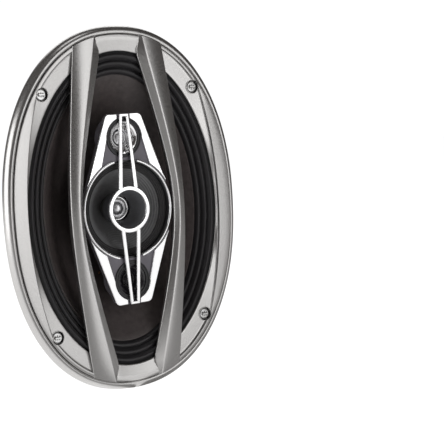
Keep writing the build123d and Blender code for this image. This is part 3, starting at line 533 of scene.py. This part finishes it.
chrome = Finish("chrome_plate", {"Metallic": 1.0})
ripple = chrome.noise(90.0, 1.0)
chrome.feed({
    "Base Color": chrome.mix(ripple, (0.86, 0.86, 0.87), (0.93, 0.93, 0.93)),
    "Roughness": 0.06 + 0.05 * chrome.noise(400.0, 3.0),
    "Normal": chrome.bump(ripple, 0.04, 0.2 * mm),
})

corner_radius = 4.2 * mm
corner_centre = (11.2 * mm, blade_top - corner_radius)
tip_turn, root_turn = 27.7, 57.8
pod_gap, pod_start, pod_stop = 0.3 * mm, -2, 69
blade_outline = (
    [(blade_inner, blade_top)]
    + arc(corner_centre, corner_radius, 90, 20, 8)
    + arc((0, 0), ring_gap_radius, tip_turn, root_turn, 12)
    + arc((0, pod_height), pod_radius + pod_gap, pod_start, pod_stop, 14)
)
for name, across, up in (
    ("upper_right", 1, 1), ("upper_left", -1, 1), ("lower_right", 1, -1), ("lower_left", -1, -1),
):
    outline = [(across * x, up * z) for x, z in blade_outline]
    blade = piece(f"blade_{name}_plated", slab(outline, blade_low.y, blade_high.y, blade_edge), chrome)
    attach(blade, "frame")
    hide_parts(f"blade_{name}")

# ---------------------------------------------------------------- midrange ring
# Two plated arcs of half-round section on the housing, round the midrange and open at the ladder.
low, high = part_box("midrange_ring_right")
ring_outer, ring_mid = high.x, high.x - 1.05 * mm
ring_half = ring_outer - ring_mid
arc_steps = 10
break_turn = 74.5
for name, start in (("right", -break_turn), ("left", 180 - break_turn)):
    bm = bmesh.new()
    section = [(ring_outer, high.y)] + arc((ring_mid, low.y + ring_half), ring_half, 0, -180, arc_steps)
    section.append((2 * ring_mid - ring_outer, high.y))
    turn = radians(start)
    loop = [bm.verts.new((reach * cos(turn), depth, reach * sin(turn))) for reach, depth in section]
    end = bm.faces.new(loop)
    bmesh.ops.spin(bm, geom=[end], cent=(0, 0, 0), axis=(0, -1, 0),
                   angle=radians(2 * break_turn), steps=72)
    bmesh.ops.recalc_face_normals(bm, faces=bm.faces)
    ring = piece(f"midrange_ring_{name}_plated", bm, chrome)
    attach(ring, "frame")
    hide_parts(f"midrange_ring_{name}")

# ---------------------------------------------------------------- ladder
# Plated bridge over the midrange: two rails at each end that spread to the hub ring, with a cap
# that stands on the housing. The hub carries the tweeter's horn.
ladder_low, ladder_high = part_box("ladder")
horn_low, horn_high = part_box("tweeter_horn")
ladder_face, ladder_foot, ladder_top = ladder_low.y, ladder_high.y, ladder_high.z
bar_rear = horn_low.y
end_w, root_w, root_z = 3.7 * mm, 7.8 * mm, 14.6 * mm
rail_end, rail_root, cap_depth = 2.3 * mm, 3.1 * mm, 2.1 * mm
hub_outer, hub_inner = ladder_high.x, horn_high.x - 1.0 * mm
bar_edge, hub_round = 0.5 * mm, 0.7 * mm
foot_inset, foot_lap, foot_edge = 0.3 * mm, 0.3 * mm, 0.1 * mm
bm = bmesh.new()
for up in (1, -1):
    rail = [
        (end_w - rail_end, up * (ladder_top - cap_depth)), (end_w, up * ladder_top),
        (root_w, up * root_z), (root_w - rail_root, up * root_z * 0.95),
    ]
    for across in (1, -1):
        slab([(across * x, z) for x, z in rail], ladder_face, bar_rear, bar_edge, into=bm)
    cap = [(end_w, ladder_top), (end_w, ladder_top - cap_depth), (-end_w, ladder_top - cap_depth)]
    cap = [(x, up * z) for x, z in cap + [(-end_w, ladder_top)]]
    slab(cap, ladder_face, bar_rear, bar_edge, into=bm)
    foot_top = up * (ladder_top - foot_inset)
    foot = [(0.9 * x, foot_top + 0.8 * (z - up * ladder_top)) for x, z in cap]
    slab(foot, bar_rear - foot_lap, ladder_foot, foot_edge, into=bm)
hub_section = [(hub_inner, bar_rear)]
hub_section += arc((hub_inner + hub_round, ladder_face + hub_round), hub_round, 180, 270, 5)
hub_section += arc((hub_outer - hub_round, ladder_face + hub_round), hub_round, -90, 0, 5)
hub_section += [(hub_outer, bar_rear), (hub_inner, bar_rear)]
lathe(hub_section, into=bm)
ladder = piece("ladder_plated", bm, chrome)
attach(ladder, "frame")
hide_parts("ladder")

# ---------------------------------------------------------------- centre tweeter
# A dark horn leads to a plated ring round a dome of metallised film. The dome has a small rolled
# edge and moves with its coil.
horn_plastic = Finish("horn_plastic", {"Specular IOR Level": 0.5})
flow = horn_plastic.noise(700.0, 3.0)
horn_plastic.feed({
    "Base Color": horn_plastic.mix(flow, (0.13, 0.132, 0.14), (0.19, 0.192, 0.205)),
    "Roughness": 0.3 + 0.15 * flow,
    "Normal": horn_plastic.bump(flow, 0.2, 0.04 * mm),
})
dress("tweeter_horn", horn_plastic)
dome_low, dome_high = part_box("tweeter_dome")
low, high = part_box("tweeter_ring")
ring_clear = 0.6 * mm
ring_half = (high.x - dome_high.x - ring_clear) / 2
ring_line = [(high.x - ring_half + ring_half * x, high.y + (high.y - low.y) * z)
             for x, z in arc((0, 0), 1.0, 0, -180, 12)]
tweeter_ring = piece("tweeter_ring_plated", lathe(ring_line + ring_line[:1], steps=72), chrome)
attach(tweeter_ring, "frame")
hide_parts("tweeter_ring")

film = Finish("metallised_film", {"Metallic": 1.0})
wrinkle = film.noise(1500.0, 3.0)
film.feed({
    "Base Color": film.mix(wrinkle, (0.75, 0.75, 0.77), (0.95, 0.95, 0.96)),
    "Roughness": 0.26 + 0.14 * wrinkle,
    "Normal": film.bump(wrinkle, 0.2, 0.05 * mm),
})


def dome_line(low, high, roll, wall):
    """Section of a dome with a rolled edge and a skirt, inside the box of its CAD solid."""
    cap, seat = high.x - 2 * roll, low.y + 0.62 * (high.y - low.y)
    rise = seat - low.y
    sphere = (cap**2 + rise**2) / (2 * rise)
    cap_turn = atan2(cap, sphere - rise)
    cap_steps, edge_steps = 12, 8
    reaches = [sphere * sin(step / cap_steps * cap_turn) for step in range(cap_steps + 1)]
    front = [(x, low.y + sphere - sqrt(sphere**2 - x**2)) for x in reaches]
    for step in range(1, edge_steps + 1):
        turn = pi * step / edge_steps
        front.append((cap + roll - roll * cos(turn), seat - 0.9 * roll * sin(turn)))
    back = [(max(0.0, x - wall), y + wall) for x, y in front[::-1]]
    return front + [(high.x, high.y), (high.x - wall, high.y)] + back


film_thick, dome_roll = 0.15 * mm, 0.55 * mm
dome_section = dome_line(dome_low, dome_high, dome_roll, film_thick)
tweeter_dome = piece("tweeter_dome_film", lathe(dome_section), film, 50.0)
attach(tweeter_dome, "tweeter")
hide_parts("tweeter_dome")

# ---------------------------------------------------------------- pod tweeters
# Each pod holds a dark stepped ring, a flared dish and a small dome. The upper dish and dome are
# bright, the lower ones black.
gloss_black = Finish("gloss_black", {"Specular IOR Level": 0.5, "Coat Weight": 0.3, "Coat Roughness": 0.1})
swirl = gloss_black.noise(300.0, 2.0)
gloss_black.feed({
    "Base Color": gloss_black.mix(swirl, (0.012, 0.011, 0.015), (0.024, 0.022, 0.028)),
    "Roughness": 0.18 + 0.15 * swirl,
    "Normal": gloss_black.bump(swirl, 0.1, 0.05 * mm),
})
dish_mouth, dish_wall, dish_lines = 11.2 * mm, 0.5 * mm, 14
lip_round, lip_depth, lip_width = 0.2 * mm, 0.6 * mm, 0.5 * mm
trim_round, step_drop, sill_drop, cap_roll = 0.3 * mm, 0.5 * mm, 0.1 * mm, 0.4 * mm
for pod, sheen, cap_finish, dish_slot, cap_slot in (
    ("upper", chrome, film, "chrome", "dome_film"),
    ("lower", gloss_black, gloss_black, "horn_plastic", "horn_plastic"),
):
    low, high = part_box(f"{pod}_tweeter_ring")
    height, face, rear, outer = (low.z + high.z) / 2, low.y, high.y, high.x
    step_w = (outer - dish_mouth) / 3
    trim_line = [
        (outer, rear), (outer, face + trim_round), (outer - trim_round, face), (outer - step_w, face),
        (outer - 1.2 * step_w, face + step_drop), (outer - 2 * step_w, face + step_drop),
        (outer - 2.2 * step_w, face + sill_drop), (dish_mouth, face + sill_drop),
        (dish_mouth, rear), (outer, rear),
    ]
    pod_trim = piece(f"{pod}_tweeter_trim", lathe(trim_line, height, 72), satin_plastic)
    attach(pod_trim, "frame")
    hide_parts(f"{pod}_tweeter_ring")

    low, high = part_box(f"{pod}_tweeter_dish")
    cap_low, cap_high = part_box(f"{pod}_tweeter_dome")
    throat = cap_high.x + 0.5 * mm
    flare = [(high.x, low.y + lip_depth), (high.x, low.y + lip_round), (high.x - lip_round, low.y)]
    flare += [(dish_mouth, low.y), (dish_mouth - lip_width, low.y + lip_round)]
    for step in range(1, dish_lines + 1):
        share = step / dish_lines
        reach = dish_mouth + (throat - dish_mouth) * share**0.75 - lip_width * (1 - share)
        flare.append((reach, low.y + lip_round + (high.y - dish_wall - low.y) * share**1.35))
    backs = [(x + dish_wall, y + dish_wall) for x, y in flare[:4:-1]]
    dish = piece(f"{pod}_tweeter_flare", lathe(flare + backs + flare[:1], height, 72), sheen)
    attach(dish, "frame")
    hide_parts(f"{pod}_tweeter_dish")

    cap_line = dome_line(cap_low, cap_high, cap_roll, film_thick)
    dome = piece(f"{pod}_tweeter_cap", lathe(cap_line, height, 60), cap_finish, 50.0)
    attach(dome, f"{pod}_tweeter")
    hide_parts(f"{pod}_tweeter_dome")
    dress(f"{pod}_tweeter_element", satin_plastic)

# ---------------------------------------------------------------- grille frame
# Moulded oval plate in satin silver paint. It has a raised band, two crescent side rails, a sloping
# facet at each end and four recesses for the screws.
grille_steps = 288
band_width = 2.5 * mm
squareness = 2.2
open_half_w, open_half_h = 76.3 * mm, 111.2 * mm
frame_half_w, frame_half_h = 87.4 * mm, 122.8 * mm
relief_w, relief_h = 82.2 * mm, 117.2 * mm
grille_low, grille_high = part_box("grille_frame")
plate_rear, shelf_outer, shelf_inner = -3.0 * mm, -5.0 * mm, -4.4 * mm
rail_mid, rail_end_x, rail_end_z = 77.8 * mm, 66.7 * mm, 79.0 * mm
rail_sag = rail_mid - rail_end_x
rail_radius = (rail_end_z**2 + rail_sag**2) / (2 * rail_sag)
rail_centre = rail_mid - rail_radius
rail_front, band_front = grille_low.y, grille_low.y + 0.4 * mm
round_over = 0.3 * mm


def ease(value, start, stop):
    """Smooth step from 0 at start to 1 at stop."""
    share = min(1.0, max(0.0, (value - start) / (stop - start)))
    return share * share * (3 - 2 * share)


def grille_point(turn, line):
    """Section of the frame in the direction of the turn: groove wall, band or rail, shelf, back."""
    outline = oval_reach(turn, frame_half_w, frame_half_h, squareness)
    band = oval_reach(turn, frame_half_w - band_width, frame_half_h - band_width, squareness)
    opening = oval_reach(turn, open_half_w, open_half_h)
    across = abs(cos(turn)) * rail_centre
    rail = across + sqrt(across**2 - rail_centre**2 + rail_radius**2)
    edge = min(band, rail)
    side = ease(band - edge, 0.0, 3 * mm)
    crown = band_front + (rail_front - band_front) * side
    facet = 1 - ease(abs(cos(turn)) * edge, 16 * mm, 30 * mm)
    shelf = shelf_outer + (band_front + 0.15 * mm - shelf_outer) * facet
    lower = shelf_inner + (shelf_outer - shelf_inner) * facet
    gap = edge - opening
    shelf_out = edge - min(1.0 * mm, 0.45 * gap)
    shelf_in = opening + min(0.7 * mm, 0.3 * gap)
    hold = 0.1 * (shelf_out - shelf_in)
    relief = oval_reach(turn, relief_w, relief_h, squareness)
    rabbet = oval_reach(turn, grille_high.x, grille_high.z, squareness)
    return (
        (outline, plate_rear),
        (outline, crown + 2 * round_over),
        (outline - 0.3 * round_over, crown + 0.9 * round_over),
        (outline - round_over, crown + 0.35 * round_over),
        (outline + 0.45 * (edge - outline), crown),
        (edge + round_over, crown + 0.15 * mm * side),
        (edge + 0.25 * round_over, crown + 0.35 * round_over),
        (edge, crown + round_over * (1 - 0.9 * facet)),
        (edge - min(0.5 * mm, 0.2 * gap), shelf - 0.25 * mm * (1 - facet)),
        (shelf_out, shelf),
        (shelf_out - hold, shelf + 0.1 * (lower - shelf)),
        (shelf_in + hold, lower + 0.1 * (shelf - lower)),
        (shelf_in, lower),
        (opening + min(0.2 * mm, 0.1 * gap), lower + 0.15 * mm),
        (opening, lower + 0.6 * mm),
        (opening, plate_rear),
        (relief, plate_rear),
        (relief, grille_high.y),
        (rabbet, grille_high.y),
        (rabbet, plate_rear - 0.05 * mm),
    )[line]


grille_lines = 20
silver = Finish("silver_paint", {"Metallic": 0.92})
flake = silver.cells(3600.0)
cloud = silver.noise(14.0, 3.0)
orange_peel = silver.noise(420.0, 2.0)
silver.feed({
    "Base Color": silver.mix(0.6 * flake + 0.4 * cloud, (0.5, 0.492, 0.485), (0.61, 0.603, 0.595)),
    "Roughness": 0.24 + 0.06 * flake,
    "Normal": silver.bump(orange_peel + 0.25 * flake, 0.12, 0.05 * mm),
})


def carve(made, cutter):
    """Cuts one object out of another and drops the cutter."""
    made.modifiers.clear()
    cut = made.modifiers.new("cut", "BOOLEAN")
    cut.object = cutter
    cut.solver = "EXACT"
    bpy.context.view_layer.update()
    shape = bpy.data.meshes.new_from_object(made.evaluated_get(bpy.context.evaluated_depsgraph_get()))
    shape.set_sharp_from_angle(angle=radians(40))
    made.modifiers.clear()
    made.data = shape
    made.modifiers.new("face_weights", "WEIGHTED_NORMAL").keep_sharp = True
    bpy.data.objects.remove(cutter)


def shift(bm, x, z):
    """Moves a mesh across the front."""
    bmesh.ops.translate(bm, verts=bm.verts, vec=(x, 0, z))
    return bm


def gather(parts):
    """Joins meshes into one and frees them."""
    whole = bmesh.new()
    for part in parts:
        mesh = bpy.data.meshes.new("part")
        part.to_mesh(mesh)
        part.free()
        whole.from_mesh(mesh)
        bpy.data.meshes.remove(mesh)
    return whole


grille = piece("grille_moulding", ring_shell(grille_steps, grille_lines, grille_point), silver, 40.0)
hole_x, hole_z = 61.0 * mm, 83.5 * mm
corners = [(x, z) for x in (hole_x, -hole_x) for z in (hole_z, -hole_z)]
recess_radius, recess_floor, lip_top = 4.7 * mm, -2.3 * mm, -5.25 * mm
shank_hole, cup_wall = 2.4 * mm, 0.5 * mm
well_front = -12 * mm
well_line = [(0, well_front), (recess_radius, well_front), (recess_radius, 0), (0, 0)]
wells = gather([shift(lathe(well_line, steps=48), x, z) for x, z in corners])
carve(grille, piece("wells", wells, silver))
cup_line = [
    (shank_hole, recess_floor), (recess_radius - 0.4 * mm, recess_floor),
    (recess_radius, recess_floor - 0.4 * mm), (recess_radius, lip_top + 0.15 * mm),
    (recess_radius + 0.15 * mm, lip_top), (recess_radius + cup_wall - 0.1 * mm, lip_top + 0.05 * mm),
    (recess_radius + cup_wall, lip_top + 0.3 * mm), (recess_radius + cup_wall, grille_high.y),
    (shank_hole, grille_high.y), (shank_hole, recess_floor),
]
cup_shells = [shift(lathe(cup_line, steps=48), x, z) for x, z in corners]
cups = piece("screw_recesses", gather(cup_shells), silver, 50.0)
for part in (grille, cups):
    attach(part, "frame")
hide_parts("grille_frame")

# ---------------------------------------------------------------- spars
# Two bowed bars with a wide crowned outer face, a sharp ridge and a narrow inner face. Their ends
# lap over the frame up to the groove.
spar_stations = 48
knee = 40.0 * mm
spar_corners = (
    ((37.2, -5.0), (11.3, -5.0)),
    ((36.9, -9.2), (10.9, -5.8)),
    ((40.0, -11.8), (18.5, -8.2)),
    ((41.8, -11.6), (22.8, -8.15)),
    ((43.6, -11.0), (27.0, -7.8)),
    ((45.2, -10.1), (31.1, -7.15)),
    ((46.5, -9.0), (34.9, -6.2)),
    ((46.1, -5.0), (34.5, -5.0)),
)
spar_rounded = (1, 2, 6)
spar_round = 0.75 * mm
spar_inner = (0, 1)
foot_run, foot_start = 6.0 * mm, 3 * mm


def spar_place(corner, share):
    """Where a long line of the spar is, from -1 at the lower end to 1 at the upper end."""
    (mid_x, mid_y), (end_x, end_y) = spar_corners[corner]
    top = frame_half_h * (1 - (end_x * mm / frame_half_w) ** squareness) ** (1 / squareness)
    bow = (hypot(1, share * top / knee) - 1) / (hypot(1, frame_half_h / knee) - 1)
    lean = (share * top / frame_half_h) ** 2
    reach = (mid_x + (end_x - mid_x) * bow) * mm
    if corner in spar_inner:
        reach += foot_run * ease(abs(share) * top, open_half_h - foot_start, top)
    return reach, (mid_y + (end_y - mid_y) * lean) * mm, share * top


for name, side in (("left", -1), ("right", 1)):
    bm = bmesh.new()
    role = bm.verts.layers.int.new("role")
    loop = []
    for corner in range(len(spar_corners)):
        reach, depth, height = spar_place(corner, -1)
        vert = bm.verts.new((side * reach, depth, height))
        vert[role] = corner
        loop.append(vert)
    bm.faces.new(loop)
    rim = bm.edges[:]
    for station in range(1, spar_stations + 1):
        rim, verts = grow(bm, rim)
        for vert in verts:
            reach, depth, height = spar_place(vert[role], 2 * station / spar_stations - 1)
            vert.co = (side * reach, depth, height)
    bmesh.ops.edgeloop_fill(bm, edges=rim)
    along = [edge for edge in bm.edges if edge.verts[0][role] == edge.verts[1][role]]
    ridges = [edge for edge in along if edge.verts[0][role] in spar_rounded]
    bmesh.ops.bevel(bm, geom=ridges, offset=spar_round, segments=4, profile=0.5,
                    affect="EDGES", material=-1)
    bmesh.ops.recalc_face_normals(bm, faces=bm.faces)
    spar = piece(f"spar_{name}_moulding", bm, silver, 30.0)
    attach(spar, "frame")
    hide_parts(f"spar_{name}")

# ---------------------------------------------------------------- trim ring
# Outer moulding with a convex flank and a lip that laps over the grille frame, leaving a thin
# groove between the two. Its rear edge meets the panel.
trim_low, trim_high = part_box("trim_ring")
inset_stretch = 3.8 / 3.5
trim_section = (
    (0.0, 0.0), (0.12, -1.5), (0.55, -3.1), (1.3, -4.5), (2.3, -5.5), (3.2, -5.92), (3.9, -6.0), (4.6, -5.9),
    (5.2, -5.5), (5.5, -4.9), (5.5, -3.2), (2.75, -3.2), (2.75, 0.0),
)


def trim_point(turn, line):
    """Section of the trim, from its rear edge over the flank and the lip to the back."""
    inset, depth = trim_section[line]
    half_w, half_h = trim_high.x - inset * mm, trim_high.z - inset_stretch * inset * mm
    return oval_reach(turn, half_w, half_h, squareness), depth * mm


trim = piece("trim_moulding", ring_shell(grille_steps, len(trim_section), trim_point), silver, 40.0)
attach(trim, "frame")
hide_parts("trim_ring")

# ---------------------------------------------------------------- mounting screws
# Zinc-plated pan heads with a cross recess, seated in the grille's recesses, and a real thread.
screw_low, screw_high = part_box("mounting_screws")
head_radius, head_round = 4.0 * mm, 1.1 * mm
thread_radius, core_radius, thread_pitch, thread_lines = 2.1 * mm, 1.6 * mm, 1.4 * mm, 150
neck_end, point_start = 0.2 * mm, screw_high.y - 4 * mm
cross_length, cross_width, cross_depth = 4.4 * mm, 1.0 * mm, 2.6 * mm
head_steps, thread_steps = 40, 24
head_line = [(0, screw_low.y)]
head_line += arc((head_radius - head_round, screw_low.y + head_round), head_round, -90, 0, 6)
head_line += [(head_radius, recess_floor), (core_radius, recess_floor)]
head_line += [(core_radius, neck_end), (0, neck_end)]


def thread_point(turn, line):
    """Helical thread on the shank, which narrows to a point."""
    depth = neck_end + (screw_high.y - neck_end) * line / (thread_lines - 1)
    flank = abs(((depth / thread_pitch + turn / (2 * pi)) % 1.0) * 2 - 1)
    reach = core_radius + (thread_radius - core_radius) * ease(flank, 0.55, 1.0)
    return reach * (1 - 0.9 * ease(depth, point_start, screw_high.y)), depth


screws, slots = [], []
for x, z in corners:
    screws.append(shift(lathe(head_line, steps=head_steps), x, z))
    screws.append(shift(ring_shell(thread_steps, thread_lines, thread_point, closed=False), x, z))
    for wide, tall in ((cross_length, cross_width), (cross_width, cross_length)):
        blade_cut = bmesh.new()
        bmesh.ops.create_cube(blade_cut, size=1.0)
        bmesh.ops.scale(blade_cut, verts=blade_cut.verts, vec=(wide, cross_depth, tall))
        bmesh.ops.translate(blade_cut, verts=blade_cut.verts, vec=(0, screw_low.y, 0))
        slots.append(shift(blade_cut, x, z))
screw_set = piece("screws_pan_head", gather(screws), zinc, 40.0)
carve(screw_set, piece("slots", gather(slots), zinc))
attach(screw_set, "frame")
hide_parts("mounting_screws")

# ---------------------------------------------------------------- terminals and crossover
# Brown laminate board riveted to the basket's tab, tinned brass tabs, a film capacitor and two
# braided leads to the cone. Here the leads are rigid, and they stay still when the cone moves.
laminate = Finish("laminate_board", {"Specular IOR Level": 0.5})
fibre = laminate.noise(700.0, 5.0)
laminate.feed({
    "Base Color": laminate.mix(fibre, (0.16, 0.07, 0.025), (0.3, 0.15, 0.06)),
    "Roughness": 0.35 + 0.2 * fibre,
    "Normal": laminate.bump(fibre, 0.2, 0.05 * mm),
})
dress("terminal_board", laminate)

tinned = Finish("tinned_brass", {"Metallic": 1.0})
tin = tinned.noise(500.0, 3.0)
tinned.feed({
    "Base Color": tinned.mix(tin, (0.68, 0.62, 0.5), (0.82, 0.78, 0.68)),
    "Roughness": 0.22 + 0.2 * tin,
    "Normal": tinned.bump(tin, 0.15, 0.03 * mm),
})
dress("terminal_positive", tinned)
dress("terminal_negative", tinned)

sleeve = Finish("shrink_sleeve", {"Specular IOR Level": 0.5, "Coat Weight": 0.2})
shrink = sleeve.noise(260.0, 2.0)
sleeve.feed({
    "Base Color": sleeve.mix(shrink, (0.012, 0.02, 0.05), (0.02, 0.035, 0.08)),
    "Roughness": 0.25 + 0.15 * shrink,
    "Normal": sleeve.bump(shrink, 0.2, 0.1 * mm),
})
dress("crossover_capacitor", sleeve)

braid = Finish("tinsel_braid", {"Metallic": 0.9})
strand = braid.place.maths("SINE", (braid.axis(2) + braid.axis(1)) * 9000.0 + braid.axis(0) * 7000.0)
braid.feed({
    "Base Color": braid.mix(0.5 + 0.5 * strand, (0.3, 0.13, 0.05), (0.75, 0.42, 0.22)),
    "Roughness": 0.35 + 0.1 * strand,
    "Normal": braid.bump(strand, 0.6, 0.15 * mm),
})
dress("tinsel_leads", braid)

# ---------------------------------------------------------------- room, light and camera
# White sweep under and behind the speaker, a soft box at each side and a small one overhead. The
# dark room round the camera shows in the paint as its grey parts.
bpy.context.scene.view_settings.view_transform = "Standard"
floor_bm = bmesh.new()
bmesh.ops.create_grid(floor_bm, x_segments=1, y_segments=1, size=3.0)
bmesh.ops.translate(floor_bm, verts=floor_bm.verts, vec=(0, 0, trim_low.z - 0.3 * mm))
# Painted glow: the floor gives off light of its own. To the camera it is an even white. To every other ray
# it glows bright or dark by bearing round the speaker, a painted bounce light that shows in the paint as
# painted reflections.
plaster = Finish("white_floor", {"Specular IOR Level": 0.1, "Emission Strength": 1.0})
speckle = plaster.noise(60.0)
watched = plaster.place.node("ShaderNodeLightPath", {}, {}, out="Is Camera Ray")
bearing = 0.5 + plaster.place.maths("ARCTAN2", plaster.axis(0), 0.0 - plaster.axis(1)) * (0.5 / pi)
painted_bounce_glow = plaster.place.node("ShaderNodeValToRGB", {"stops": (
    (0.3, (0.8, 0.8, 0.8)), (0.35, (0.08, 0.08, 0.08)), (0.47, (0.08, 0.08, 0.08)), (0.51, (0.8, 0.8, 0.8)),
    (0.605, (0.8, 0.8, 0.8)), (0.625, (0.06, 0.06, 0.06)),
)}, {"Fac": bearing})
plaster.feed({
    "Base Color": plaster.mix(speckle, (0.93, 0.93, 0.93), (0.95, 0.95, 0.95)),
    "Roughness": 0.85 + 0.1 * speckle,
    "Emission Color": plaster.place.node(
        "ShaderNodeMix", {"data_type": "RGBA"}, {0: watched, 6: painted_bounce_glow, 7: (0.95, 0.95, 0.95, 1.0)}, out=2),
})
floor = piece("floor", floor_bm, plaster)


def softbox(name, azimuth, elevation, distance, width, height, radiance):
    """Area light that faces the speaker from that side. Azimuth 0 is straight in front."""
    a, e = radians(azimuth), radians(elevation)
    back = Vector((sin(a) * cos(e), -cos(a) * cos(e), sin(e)))
    panel = bpy.data.lights.new(name, "AREA")
    panel.shape, panel.size, panel.size_y = "RECTANGLE", width, height
    panel.energy = radiance * pi * width * height
    lamp = bpy.data.objects.new(name, panel)
    lamp.location = back * distance
    lamp.rotation_euler = back.to_track_quat("Z", "Y").to_euler()
    bpy.context.scene.collection.objects.link(lamp)


softbox("softbox_right", 19.5, 4, 1.6, 0.76, 1.5, 1.45)
softbox("softbox_left", -92, 4, 1.4, 1.3, 1.4, 2.3)
softbox("overhead", 0, 75, 1.6, 0.6, 0.4, 1.6)
softbox("softbox_rear", 160, 38, 1.8, 1.4, 1.0, 1.6)

world = bpy.data.worlds.new("room")
world.use_nodes = True
bpy.context.scene.world = world
room = Wire(world.node_tree, None)
seen = room.node("ShaderNodeLightPath", {}, {}, out="Is Camera Ray")
shade = {0: seen, 6: (0.062, 0.056, 0.053, 1.0), 7: (1.05, 1.05, 1.05, 1.0)}
sky = room.node("ShaderNodeMix", {"data_type": "RGBA"}, shade, out=2)
world.node_tree.links.new(sky.socket, world.node_tree.nodes["Background"].inputs["Color"])

azimuth, elevation, roll = -0.5982, 0.09823, -0.05557
distance, slide_right, slide_up = 957.33 * mm, -69.04 * mm, 9.32 * mm
back = Vector((sin(azimuth) * cos(elevation), -cos(azimuth) * cos(elevation), sin(elevation)))
level_right = Vector((cos(azimuth), sin(azimuth), 0.0))
level_up = back.cross(level_right)
right = cos(roll) * level_right + sin(roll) * level_up
up = cos(roll) * level_up - sin(roll) * level_right
lens = bpy.data.cameras.new("camera")
lens.lens, lens.sensor_width = 109.5, 36.0
camera = bpy.data.objects.new("camera", lens)
spot = distance * back - slide_right * right - slide_up * up - Vector((0, 2 * mm, 0))
camera.matrix_world = Matrix((right, up, back)).transposed().to_4x4()
camera.location = spot
bpy.context.scene.collection.objects.link(camera)
bpy.context.scene.camera = camera
